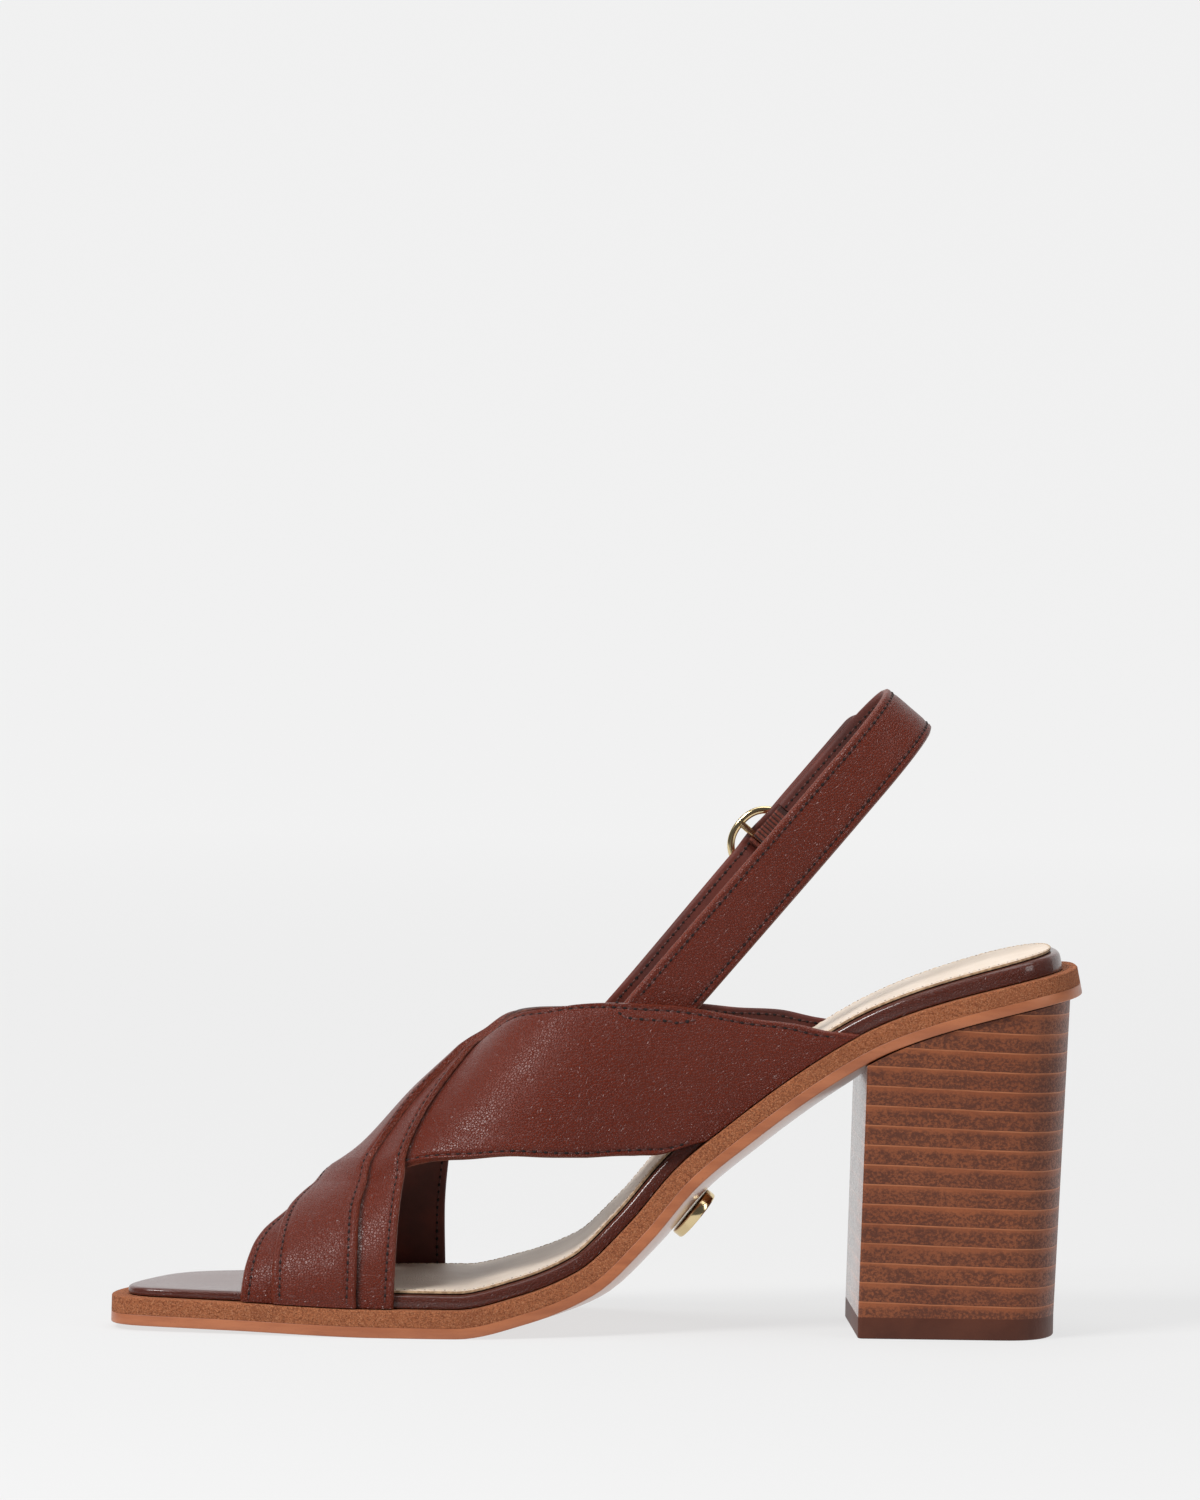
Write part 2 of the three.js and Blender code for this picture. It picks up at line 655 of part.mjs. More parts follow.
// Height by which the upper strap climbs over the lower one at a point of the foot
function climb(x, around) {
  const inside = Math.min(x - underFront(around), underRear(around) - x);
  return (UNDER_STRAP - BOND_DEPTH) * fade(-5, 3, inside);
}

function overStrapColumns(around) {
  const step = mix(PANEL_STEP, PLAIN_STEP, fade(0.48, 0.7, around));
  const column = (rise) => (x) => ({ x, distance: BOND_DEPTH + OVER_STRAP + rise + climb(x, around) });
  return [
    ...spread(overFront(around), panelFront(around), 2).map(column(0)),
    ...spread(panelFront(around), panelRear(around), 5).map(column(step)),
    ...spread(panelRear(around), overRear(around), 2).map(column(0)),
  ];
}

function underStrapColumns(around) {
  return spread(underFront(around), underRear(around), 7).map((x) => ({ x, distance: UNDER_STRAP }));
}

// Upper: both straps joined where they cross
function upper() {
  const over = loft(strapRings(overStrapColumns, BOND_DEPTH));
  const under = loft(strapRings(underStrapColumns, 0));
  return joined(over, under);
}

// Frame of the sling: first axis up the strap, second across the foot, third square to
// both, towards the instep
const slingFrame = new THREE.Matrix4();
const slingAngle = THREE.MathUtils.degToRad(SLING_ANGLE);
slingFrame.makeBasis(
  new THREE.Vector3(Math.cos(slingAngle), 0, Math.sin(slingAngle)),
  new THREE.Vector3(0, 1, 0),
  new THREE.Vector3(-Math.sin(slingAngle), 0, Math.cos(slingAngle)),
);

// The sling rises from the rear edge of the strap that holds it
function slingFoot() {
  const x = alongSole(SLING_FOOT * SOLE_LENGTH);
  let [low, high] = [0, 0.5];
  for (let i = 0; i < 40; i += 1) {
    const middle = (low + high) / 2;
    if (underRear(middle) > x) low = middle;
    else high = middle;
  }
  return new THREE.Vector3(x, 0, leatherPoint(x, low, UNDER_STRAP).z + SLING_RISE);
}
slingFrame.setPosition(slingFoot());

// The lower ends are cut level with the straps that hold them
const slantOf = (up) => (1 - fade(-SLING_TUCK, 1.8 * SLING_TUCK, up)) / Math.tan(slingAngle);

// Flat strap along a path in the sling's frame. Its last points may narrow to a tip.
function ribbon(path, thickness, width, middle = 0, tipShares = []) {
  const rings = path.map((p, i) => {
    const before = path[Math.max(0, i - 1)];
    const after = path[Math.min(path.length - 1, i + 1)];
    const along = after.clone().sub(before).normalize();
    const side = new THREE.Vector2(-along.y, along.x).multiplyScalar(thickness / 2);
    const share = tipShares[i - path.length + tipShares.length] ?? 1;
    const corner = (sign, edge) => {
      const across = middle + edge * share * width / 2;
      return new THREE.Vector3(p.x + sign * side.x - slantOf(p.x) * across, p.y + sign * side.y, across);
    };
    return [corner(1, -1), corner(1, 1), corner(-1, 1), corner(-1, -1)];
  });
  return loft(rings);
}

// Route of the sling from the inner strap round the heel to the outer side
function slingPath() {
  const half = shareCurve(SLING_INNER, 'half', BALL_WIDTH);
  const bendStart = SLING_BEND * SLING_REACH;
  const bendHalf = half(SLING_BEND);
  const branch = spread(-SLING_TUCK, bendStart, 12).map((up) => (
    new THREE.Vector2(up, SLING_MIDDLE - half(up / SLING_REACH))));
  const bend = spread(0, Math.PI, 16).slice(1, -1).map((angle) => new THREE.Vector2(
    bendStart + (SLING_REACH - SLING_THICKNESS / 2 - bendStart) * Math.sin(angle) ** 0.84,
    SLING_MIDDLE - bendHalf * Math.sign(Math.cos(angle)) * Math.abs(Math.cos(angle)) ** 0.84,
  ));
  const back = spread(bendStart, SLING_LEATHER_END, 4).map((up) => (
    new THREE.Vector2(up, SLING_MIDDLE + half(up / SLING_REACH))));
  return [...branch, ...bend, ...back];
}

// Layers of the fastening, from the sling's outer face outwards
const slingRoute = slingPath();
const SLING_OUTER_FACE = slingRoute[slingRoute.length - 1].y + SLING_THICKNESS / 2;
const TAIL_LEVEL = SLING_OUTER_FACE + CLEARANCE + BUCKLE_STRAP_THICKNESS / 2;
const RING_LEVEL = TAIL_LEVEL + BUCKLE_STRAP_THICKNESS / 2 + CLEARANCE;
const BAR_LEVEL = RING_LEVEL + BAR_DIAMETER / 2 - 0.8;
const LOOP_INNER = BAR_DIAMETER / 2 + CLEARANCE;
const LOOP_OUTER = LOOP_INNER + ELASTIC_THICKNESS;
const CREST_LEVEL = BAR_LEVEL + LOOP_OUTER + CLEARANCE + BUCKLE_STRAP_THICKNESS / 2;
const UNDER_RING = TAIL_LEVEL - 0.3;
const RING_SPAN = RING_LENGTH / 2 - RING_WALL;

function slingStrap() {
  return ribbon(slingRoute, SLING_THICKNESS, SLING_WIDTH);
}

// Strap that comes up from the outer side, under the ring, over its bar and out behind it
function buckleStrap() {
  const rise = RING_SPAN - 2.4;
  const route = [
    [-SLING_TUCK, SLING_MIDDLE + OUTER_STRAP_HALF + 1.5],
    [0, SLING_MIDDLE + OUTER_STRAP_HALF],
    [0.2 * RING_PLACE, mix(SLING_MIDDLE + OUTER_STRAP_HALF, UNDER_RING, 0.22)],
    [0.4 * RING_PLACE, mix(SLING_MIDDLE + OUTER_STRAP_HALF, UNDER_RING, 0.52)],
    [0.6 * RING_PLACE, mix(SLING_MIDDLE + OUTER_STRAP_HALF, UNDER_RING, 0.83)],
    [RING_PLACE - rise - 4.4, UNDER_RING],
    [RING_PLACE - rise - 1.2, UNDER_RING + 0.05],
    [RING_PLACE - rise, UNDER_RING + 0.5],
    [RING_PLACE - 0.36 * rise, CREST_LEVEL - 0.7],
    [RING_PLACE - 0.18 * rise, CREST_LEVEL - 0.15],
    [RING_PLACE, CREST_LEVEL],
    [RING_PLACE + 0.18 * rise, CREST_LEVEL - 0.15],
    [RING_PLACE + 0.36 * rise, CREST_LEVEL - 0.7],
    [RING_PLACE + rise, UNDER_RING + 0.5],
    [RING_PLACE + rise + 1.2, UNDER_RING + 0.05],
    [SLING_LEATHER_END - 1.4, UNDER_RING],
    [SLING_LEATHER_END + 1.2, TAIL_LEVEL],
    [mix(SLING_LEATHER_END, BUCKLE_STRAP_TIP, 0.4), TAIL_LEVEL],
    ...STRAP_TIP.map((row) => [BUCKLE_STRAP_TIP - row.back * BUCKLE_STRAP_WIDTH, TAIL_LEVEL]),
  ].map(([up, out]) => new THREE.Vector2(up, out));
  const strap = ribbon(route, BUCKLE_STRAP_THICKNESS, BUCKLE_STRAP_WIDTH, BUCKLE_STRAP_SHIFT,
    STRAP_TIP.map((row) => row.width));
  const slot = new THREE.BoxGeometry(0.72 * RING_SPAN, 12, PRONG_WIDTH + 0.8);
  slot.translate(RING_PLACE - RING_SPAN * 0.4, RING_LEVEL, RING_SHIFT);
  const punches = [-2, -1, 2, 3].map((step) => {
    const punch = new THREE.CylinderGeometry(PUNCH_DIAMETER / 2, PUNCH_DIAMETER / 2, 8, 10);
    const place = RING_PLACE - RING_SPAN * 0.44 + step * PUNCH_SPACING;
    return punch.translate(place, TAIL_LEVEL, RING_SHIFT);
  });
  return cutBy(strap, slot, ...punches);
}

// Flat rounded ring outline, squarer than an ellipse
function ringOutline(length, width, target) {
  const power = 2 / 2.3;
  spread(0, 2 * Math.PI, 40).slice(0, -1).forEach((angle, i) => {
    const x = (length / 2) * Math.sign(Math.cos(angle)) * Math.abs(Math.cos(angle)) ** power;
    const y = (width / 2) * Math.sign(Math.sin(angle)) * Math.abs(Math.sin(angle)) ** power;
    if (i === 0) target.moveTo(x, y);
    else target.lineTo(x, y);
  });
  return target;
}

// Metal ring with a bar across its middle
function buckleFrame() {
  const shape = ringOutline(RING_LENGTH, RING_WIDTH, new THREE.Shape());
  shape.holes.push(ringOutline(RING_LENGTH - 2 * RING_WALL, RING_WIDTH - 2 * RING_WALL, new THREE.Path()));
  const ring = new THREE.ExtrudeGeometry(shape, {
    depth: RING_THICKNESS - 0.5, bevelEnabled: true, bevelThickness: 0.25, bevelSize: 0.25,
    bevelOffset: -0.25, bevelSegments: 1,
  });
  ring.rotateX(-Math.PI / 2);
  ring.translate(RING_PLACE, RING_LEVEL + 0.25, RING_SHIFT);
  const bar = new THREE.CylinderGeometry(BAR_DIAMETER / 2, BAR_DIAMETER / 2, RING_WIDTH - RING_WALL, 12);
  bar.rotateX(Math.PI / 2);
  bar.translate(RING_PLACE, BAR_LEVEL, RING_SHIFT);
  return joined(ring, bar);
}

// Shape in the sling's plane pushed out across the strap
function acrossStrap(shape, width) {
  const solid = new THREE.ExtrudeGeometry(shape, { depth: width, bevelEnabled: false, curveSegments: 12 });
  return solid.translate(0, 0, RING_SHIFT - width / 2);
}

function loopShape(outerRadius, innerRadius) {
  const shape = new THREE.Shape();
  shape.absarc(RING_PLACE, BAR_LEVEL, outerRadius, 0, 2 * Math.PI);
  const eye = new THREE.Path();
  eye.absarc(RING_PLACE, BAR_LEVEL, innerRadius, 0, 2 * Math.PI, true);
  shape.holes.push(eye);
  return shape;
}

// Ribbed elastic: sewn to the sling's end, looped round the bar, slit for the prong
function elasticGore() {
  const loop = acrossStrap(loopShape(LOOP_OUTER, LOOP_INNER), ELASTIC_WIDTH);
  const sewnLevel = SLING_OUTER_FACE - SLING_THICKNESS / 2;
  const sewn = SLING_LEATHER_END - CLEARANCE;
  const tail = new THREE.Shape();
  tail.moveTo(RING_PLACE + 0.5, BAR_LEVEL - LOOP_OUTER);
  tail.lineTo(sewn - 2.6, sewnLevel - ELASTIC_THICKNESS);
  tail.lineTo(sewn, sewnLevel - ELASTIC_THICKNESS);
  tail.lineTo(sewn, sewnLevel + ELASTIC_THICKNESS);
  tail.lineTo(sewn - 2.6, sewnLevel + ELASTIC_THICKNESS);
  tail.lineTo(RING_PLACE + 0.5, BAR_LEVEL - LOOP_INNER - 0.1);
  const band = acrossStrap(tail, ELASTIC_WIDTH);
  const slit = new THREE.BoxGeometry(2 * LOOP_OUTER + 1.6, 4 * LOOP_OUTER, PRONG_WIDTH + 0.8);
  slit.translate(RING_PLACE - 0.4, BAR_LEVEL, RING_SHIFT);
  return cutBy(joined(loop, band), slit);
}

// Prong: turns on the bar, passes the strap's slot and rests on the ring
function buckleProng() {
  const rest = RING_LEVEL + RING_THICKNESS + CLEARANCE;
  const reach = RING_PLACE - RING_LENGTH / 2;
  const shank = new THREE.Shape();
  shank.moveTo(RING_PLACE - LOOP_INNER * 0.9, BAR_LEVEL + LOOP_INNER * 0.75);
  shank.lineTo(reach + 5.2, rest + 0.15);
  shank.lineTo(reach + 3.6, rest);
  shank.lineTo(reach + 0.3, rest);
  shank.lineTo(reach + 0.1, rest + 0.4);
  shank.lineTo(reach + 0.6, rest + 0.8);
  shank.lineTo(reach + 4.4, rest + PRONG_THICKNESS);
  shank.lineTo(RING_PLACE - LOOP_INNER * 0.5, BAR_LEVEL + LOOP_OUTER * 0.95);
  const arm = acrossStrap(shank, PRONG_WIDTH);
  const eye = acrossStrap(loopShape(LOOP_OUTER, LOOP_INNER), PRONG_WIDTH);
  return joined(eye, arm);
}

// Finishes
const finish = (color, roughness, metalness = 0) => new THREE.MeshStandardMaterial({ color, roughness, metalness });
const strapLeather = finish(0x5f2d23, 0.45);
const insoleLeather = finish(0x4a241b, 0.5);
const smoothEdge = finish(0xa05c3e, 0.5);
const roughEdge = finish(0xb07048, 0.85);
const sockLeather = finish(0xcdb9a5, 0.6);
const stackedHeel = finish(0x78462d, 0.45);
const darkRubber = finish(0x542d20, 0.6);
const paleGold = finish(0xd8b878, 0.25, 1);
const darkElastic = finish(0x3a1d16, 0.8);

const sandal = new THREE.Group();

function add(name, geometry, material, parent = sandal) {
  const mesh = new THREE.Mesh(geometry, material);
  mesh.name = name;
  parent.add(mesh);
  return mesh;
}

add('outsole', outsole(), smoothEdge);
add('welt', welt(), roughEdge);
add('insole', insole(), insoleLeather);
add('sock_lining', sockLining(), sockLeather);
add('heel_block', heelBlock(), stackedHeel);
add('top_lift', topLift(), darkRubber);
add('upper', upper(), strapLeather);

// The badge lies against the deepest line of the waist, its face turned down and back
const badgeStation = alongSole(BADGE_STATION);
const badgeMesh = add('sole_badge', badge(), paleGold);
badgeMesh.position.copy(solePoint(badgeStation, 0, -bulge(badgeStation) - CLEARANCE - 0.15));
badgeMesh.rotation.set(-Math.PI / 2, 0, 0);
badgeMesh.rotation.set(-Math.PI / 2, -tilt(badgeStation), 0, 'YXZ');

const sling = new THREE.Group();
slingFrame.decompose(sling.position, sling.quaternion, sling.scale);
sandal.add(sling);
add('sling_strap', slingStrap(), strapLeather, sling);
add('buckle_strap', buckleStrap(), strapLeather, sling);
add('buckle_frame', buckleFrame(), paleGold, sling);
add('buckle_prong', buckleProng(), paleGold, sling);
add('elastic_gore', elasticGore(), darkElastic, sling);

export default sandal;
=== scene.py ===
# %% [markdown]
# A right mid heel sandal: crossed leather straps, a sling with a buckle, and a stacked
# heel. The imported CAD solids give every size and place. This lesson dresses them: each
# visible piece is built again with enough points for soft leather, and gets a procedural
# finish. All lengths below are millimetres; the helper that makes meshes turns them to metres.

# %% Start
import bpy
import bmesh
import math
import numpy as np
from mathutils import Matrix, Vector


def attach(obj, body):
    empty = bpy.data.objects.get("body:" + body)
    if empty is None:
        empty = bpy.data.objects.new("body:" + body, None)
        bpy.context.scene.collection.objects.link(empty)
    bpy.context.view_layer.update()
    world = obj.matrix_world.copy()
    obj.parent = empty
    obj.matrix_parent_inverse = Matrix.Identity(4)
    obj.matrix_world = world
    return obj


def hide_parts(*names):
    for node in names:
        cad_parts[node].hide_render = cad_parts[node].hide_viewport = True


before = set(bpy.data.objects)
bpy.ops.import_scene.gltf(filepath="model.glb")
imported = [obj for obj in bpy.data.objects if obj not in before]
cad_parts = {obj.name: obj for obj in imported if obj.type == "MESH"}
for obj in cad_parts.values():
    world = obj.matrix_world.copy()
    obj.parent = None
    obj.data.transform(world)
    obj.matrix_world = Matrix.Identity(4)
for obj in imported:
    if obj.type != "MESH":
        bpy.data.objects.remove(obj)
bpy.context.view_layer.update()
print("frame nodes:", sorted(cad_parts))

# %% [markdown]
# Leather goods are drawn with smooth curves through a few chosen points. A monotone cubic
# never swings past its points, so a table of shares is enough to describe a profile.

# %% Curves through tables
def curve_through(places, values):
    x, y = np.array(places, float), np.array(values, float)
    gap = np.diff(x)
    rise = np.diff(y) / gap
    slope = np.empty(len(x))
    slope[0], slope[-1] = rise[0], rise[-1]
    for i in range(1, len(x) - 1):
        if rise[i - 1] * rise[i] <= 0:
            slope[i] = 0
        else:
            a, b = 2 * gap[i] + gap[i - 1], gap[i] + 2 * gap[i - 1]
            slope[i] = (a + b) / (a / rise[i - 1] + b / rise[i])

    def at(q):
        q = np.asarray(q, float)
        i = np.clip(np.searchsorted(x, q) - 1, 0, len(x) - 2)
        t = (q - x[i]) / gap[i]
        inside = ((1 + 2 * t) * (1 - t) ** 2 * y[i] + t * (1 - t) ** 2 * gap[i] * slope[i]
                  + t * t * (3 - 2 * t) * y[i + 1] + t * t * (t - 1) * gap[i] * slope[i + 1])
        inside = np.where(q < x[0], y[0] + slope[0] * (q - x[0]), inside)
        return np.where(q > x[-1], y[-1] + slope[-1] * (q - x[-1]), inside)
    return at


def fade(start, end, q):
    t = np.clip((np.asarray(q, float) - start) / (end - start), 0, 1)
    return t * t * (3 - 2 * t)


# %% Sizes of the sole
SOLE_LENGTH, BALL_WIDTH, SEAT_HEIGHT, INSTEP_HEIGHT = 234.0, 80.0, 84.8, 95.0
OUTSOLE, WELT, INSOLE, SOCK, CLEARANCE = 2.5, 3.9, 4.3, 0.6, 0.3
WELT_LEVEL = OUTSOLE + CLEARANCE
WELT_TOP = WELT_LEVEL + WELT
SEAT_LEVEL = WELT_TOP + CLEARANCE
LEDGE, SOCK_MARGIN, WAIST_BULGE, OBLIQUITY = 3.6, 2.0, 3.1, 0.06
TOE_SLANT, BIG_TOE = 0.42, 0.147 * BALL_WIDTH


def sole_curve(rows, scale):
    return curve_through([r[0] * SOLE_LENGTH - SOLE_LENGTH / 2 for r in rows], [r[1] * scale for r in rows])


profile = sole_curve([(0, .0165), (.07, .0135), (.14, .0095), (.27, 0), (.36, 0), (.43, .041), (.5, .121), (.555, .264),
                      (.605, .428), (.66, .556), (.715, .673), (.765, .766), (.8, .82), (.84, .867),
                      (.89, .912), (.95, .956), (1, .985)], SEAT_HEIGHT)
inner_half = sole_curve([(0, .35), (.06, .385), (.13, .425), (.21, .47), (.28, .495), (.335, .5), (.39, .488),
                         (.45, .445), (.52, .375), (.6, .318), (.68, .298), (.76, .315), (.85, .345),
                         (.93, .352), (1, .34)], BALL_WIDTH)
outer_half = sole_curve([(0, .24), (.06, .285), (.13, .367), (.21, .42), (.28, .462), (.335, .486), (.39, .5),
                         (.45, .5), (.52, .47), (.6, .42), (.68, .378), (.76, .358), (.85, .36),
                         (.93, .362), (1, .35)], BALL_WIDTH)
padding = sole_curve([(0, .4), (.13, .48), (.3, .74), (.6, .72), (.8, .86), (1, 1.05)], INSOLE)
ridge = sole_curve([(0, .2), (.115, .238), (.167, .281), (.218, .341), (.258, .406), (.3205, .573), (.362, .671),
                    (.4145, .804), (.5, .992), (.585, 1.137), (.671, 1.253), (.765, 1.358), (.885, 1.45),
                    (1, 1.5)], INSTEP_HEIGHT)
L = SOLE_LENGTH


def tilt(s):
    return np.arctan((profile(s + .05) - profile(s - .05)) / .1)


def skewed(s, y):
    """Shift along the sole: its roll at the waist, and the toes' slant back from the big toe."""
    rolled = OBLIQUITY * fade(-.36 * L, -.145 * L, s) * (1 - fade(.27 * L, .44 * L, s)) * y
    return rolled + TOE_SLANT * (1 - fade(-.5 * L, -.2 * L, s)) * (y + BIG_TOE)


def sole_point(s, y, level):
    s, y, level = np.broadcast_arrays(np.asarray(s, float), y, level)
    a = tilt(s)
    return np.stack([s - np.sin(a) * level + skewed(s, y), y, profile(s) + np.cos(a) * level], -1)


def station_under(x, y, level):
    s = np.array(x, float)
    for _ in range(40):
        s = s + .7 * (x - (s - np.sin(tilt(s)) * level + skewed(s, y)))
    return s


def sole_height(x, y, level):
    s = station_under(x, y, level)
    return profile(s) + np.cos(tilt(s)) * level


def bulge(s):
    return WAIST_BULGE * fade(-.14 * L, .02 * L, s) * (1 - fade(.25 * L, .34 * L, s))


print("seat of the heel at", float(profile(117)), "mm")

# %% [markdown]
# Blender wants metres and its own mesh blocks. One helper makes a mesh from numpy points,
# gives each face a finish, keeps measured distances as attributes for the shaders, and
# hands the object to the frame.

# %% Making a piece
finishes = {}


def piece(name, points, faces, finish, replaces=(), face_finish=None, attributes=None, sharp=35):
    mesh = bpy.data.meshes.new(name)
    mesh.from_pydata([tuple(p) for p in np.asarray(points) / 1000], [], [tuple(int(i) for i in f) for f in faces])
    names = [finish] if isinstance(finish, str) else list(finish)
    for n in names:
        mesh.materials.append(finishes[n])
    if face_finish is not None:
        mesh.polygons.foreach_set("material_index", np.asarray(face_finish, np.int32))
    for key, values in (attributes or {}).items():
        layer = mesh.attributes.new(key, "FLOAT", "POINT")
        layer.data.foreach_set("value", np.asarray(values, np.float32))
    work = bmesh.new()
    work.from_mesh(mesh)
    bmesh.ops.remove_doubles(work, verts=work.verts, dist=2e-6)
    bmesh.ops.dissolve_degenerate(work, edges=work.edges, dist=1e-7)
    bmesh.ops.recalc_face_normals(work, faces=work.faces)
    work.to_mesh(mesh)
    work.free()
    mesh.polygons.foreach_set("use_smooth", [True] * len(mesh.polygons))
    mesh.set_sharp_from_angle(angle=math.radians(sharp))
    mesh.update()
    body = bpy.data.objects.new(name, mesh)
    bpy.context.scene.collection.objects.link(body)
    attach(body, "root")
    if replaces:
        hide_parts(*replaces)
    open_edges = sum(1 for e in mesh.edges if e.is_loose)
    print(name, len(mesh.polygons), "faces", open_edges, "loose edges")
    return body


# %% [markdown]
# Each finish is a small shader. A helper keeps the wiring short: textures read Object
# coordinates, which are metres in the shared frame, so grain has its real size everywhere.

# %% Shader helper
class Shader:
    def __init__(self, name):
        self.material = bpy.data.materials.new(name)
        self.material.use_nodes = True
        self.tree = self.material.node_tree
        self.tree.nodes.clear()
        self.out = self.node("ShaderNodeOutputMaterial")
        self.bsdf = self.node("ShaderNodeBsdfPrincipled")
        self.link(self.bsdf.outputs[0], self.out.inputs["Surface"])
        self.place = self.node("ShaderNodeTexCoord").outputs["Object"]
        finishes[name] = self.material

    def node(self, kind, **settings):
        made = self.tree.nodes.new(kind)
        for key, value in settings.items():
            setattr(made, key, value)
        return made

    def link(self, a, b):
        self.tree.links.new(a, b)

    def set(self, **values):
        for key, value in values.items():
            self.bsdf.inputs[key.replace("_", " ")].default_value = value

    def scaled(self, stretch):
        mapping = self.node("ShaderNodeMapping")
        mapping.inputs["Scale"].default_value = stretch
        self.link(self.place, mapping.inputs["Vector"])
        return mapping.outputs[0]

    def noise(self, scale, detail=3, rough=.55, stretch=None, distortion=0):
        made = self.node("ShaderNodeTexNoise")
        made.inputs["Scale"].default_value = scale
        made.inputs["Detail"].default_value = detail
        made.inputs["Roughness"].default_value = rough
        made.inputs["Distortion"].default_value = distortion
        self.link(self.scaled(stretch) if stretch else self.place, made.inputs["Vector"])
        return made.outputs["Fac"]

    def cells(self, scale, feature="DISTANCE_TO_EDGE", stretch=None):
        made = self.node("ShaderNodeTexVoronoi", feature=feature)
        made.inputs["Scale"].default_value = scale
        self.link(self.scaled(stretch) if stretch else self.place, made.inputs["Vector"])
        return made.outputs["Distance"]

    def measure(self, name):
        return self.node("ShaderNodeAttribute", attribute_name=name).outputs["Fac"]

    def math(self, how, a, b=None, c=None):
        made = self.node("ShaderNodeMath", operation=how)
        for socket, value in zip(made.inputs, (a, b, c)):
            if value is None:
                continue
            if isinstance(value, (int, float)):
                socket.default_value = value
            else:
                self.link(value, socket)
        return made.outputs[0]

    def ramp(self, value, low, high, to_low=0.0, to_high=1.0):
        made = self.node("ShaderNodeMapRange", interpolation_type="SMOOTHSTEP")
        self.link(value, made.inputs["Value"])
        for key, number in (("From Min", low), ("From Max", high), ("To Min", to_low), ("To Max", to_high)):
            made.inputs[key].default_value = number
        return made.outputs[0]

    def blend(self, share, first, second, how="MIX"):
        made = self.node("ShaderNodeMix", data_type="RGBA", blend_type=how)
        for key, value in ((0, share), (6, first), (7, second)):
            if isinstance(value, (tuple, list)):
                made.inputs[key].default_value = (*value, 1)
            elif isinstance(value, (int, float)):
                made.inputs[key].default_value = value
            else:
                self.link(value, made.inputs[key])
        return made.outputs[2]

    def bump(self, height, depth, onto=None):
        made = self.node("ShaderNodeBump")
        made.inputs["Strength"].default_value = 1
        made.inputs["Distance"].default_value = depth
        self.link(height, made.inputs["Height"])
        if onto is not None:
            self.link(onto, made.inputs["Normal"])
        return made.outputs[0]

    def finish(self, color=None, roughness=None, normal=None):
        for value, key in ((color, "Base Color"), (roughness, "Roughness"), (normal, "Normal")):
            if value is None:
                continue
            if isinstance(value, (tuple, list)):
                self.bsdf.inputs[key].default_value = (*value, 1)
            elif isinstance(value, (int, float)):
                self.bsdf.inputs[key].default_value = value
            else:
                self.link(value, self.bsdf.inputs[key])


def rgb(r, g, b):
    return tuple((c / 12.92 if c <= .04045 else ((c + .055) / 1.055) ** 2.4) for c in (r / 255, g / 255, b / 255))


# %% [markdown]
# Strap leather: fine pebbled grain, a soft gloss from wax, and colour that drifts a little
# from dye. Grain is made of small Voronoi cells for pebbles over noise for pores. Along
# each stitched edge the leather is drawn down into a groove. An edge distance kept on the mesh
# paints shade into that groove and a highlight on the rolled edge, and a shade share kept on
# the mesh paints shade just behind an edge folded over the leather.

# %% Strap leather
def strap_leather(name, color, deep, light, gloss=.36, painted_edge_shading=True, grain=1.0):
    s = Shader(name)
    drift = s.noise(30, 4, .55)
    cloud = s.noise(9, 2, .5)
    pebbles = s.cells(1500)
    pores = s.noise(2400, 2, .5)
    tone = s.blend(s.ramp(drift, .3, .7, .8, 1), deep, color)
    tone = s.blend(s.ramp(cloud, .45, .75, 0, .1), tone, light)
    tone = s.blend(s.ramp(pebbles, 0, .13, .4, 0), tone, deep)
    height = s.math("ADD", s.math("MULTIPLY", s.ramp(pebbles, 0, .2), .7), s.math("MULTIPLY", pores, .45))
    normal = s.bump(height, .00017 * grain)
    wrinkle = s.noise(170, 4, .6, stretch=(1, 1, .55), distortion=.6)
    normal = s.bump(wrinkle, .00022, normal)
    if painted_edge_shading:
        # Painted shade in the stitch groove and behind folded edges, and a painted highlight on the rolled edge.
        edge = s.measure("edge_mm")
        groove = s.math("ABSOLUTE", s.math("SUBTRACT", edge, 2.1))
        tone = s.blend(s.ramp(groove, .15, .6, .3, 0), tone, deep)
        tone = s.blend(s.ramp(edge, 0, .9, .28, 0), tone, light)
        tone = s.blend(s.math("MULTIPLY", s.measure("shade"), .85), tone, rgb(24, 9, 7))
    rough = s.ramp(s.math("ADD", drift, s.math("MULTIPLY", pores, .3)), .4, .9, gloss - .04, gloss + .1)
    s.finish(tone, rough, normal)
    s.set(Specular_IOR_Level=.27)
    return s


strap_leather("strap_leather", rgb(101, 38, 23), rgb(68, 21, 12), rgb(140, 66, 44), gloss=.3)
wrapped = strap_leather("insole_leather", rgb(88, 37, 25), rgb(62, 24, 16), rgb(110, 52, 38), gloss=.36, painted_edge_shading=False)
wrapped.set(Coat_Weight=.6, Coat_Roughness=.12)

# %% Lining, cut edges and thread
lining = Shader("lining_leather")
weave = lining.noise(900, 3, .6)
lining.finish(lining.blend(lining.ramp(lining.noise(60, 3), .3, .7), rgb(68, 22, 13), rgb(98, 36, 22)), .65,
              lining.bump(weave, .0001))
edges = Shader("cut_edge")
edges.finish(edges.blend(edges.ramp(edges.noise(700, 3), .35, .65), rgb(80, 34, 22), rgb(118, 58, 39)), .5,
             edges.bump(edges.noise(1200, 2), .00015))
thread = Shader("thread")
thread.finish(rgb(74, 30, 22), .5, thread.bump(thread.noise(3000, 2), .00006))
# Stitch holes are dark beads: painted shade inside each hole.
hole = Shader("stitch_hole_shade")
hole.finish(hole.blend(hole.ramp(hole.noise(2500), .4, .6), rgb(18, 6, 5), rgb(32, 12, 9)), .9)
print("strap finishes made")
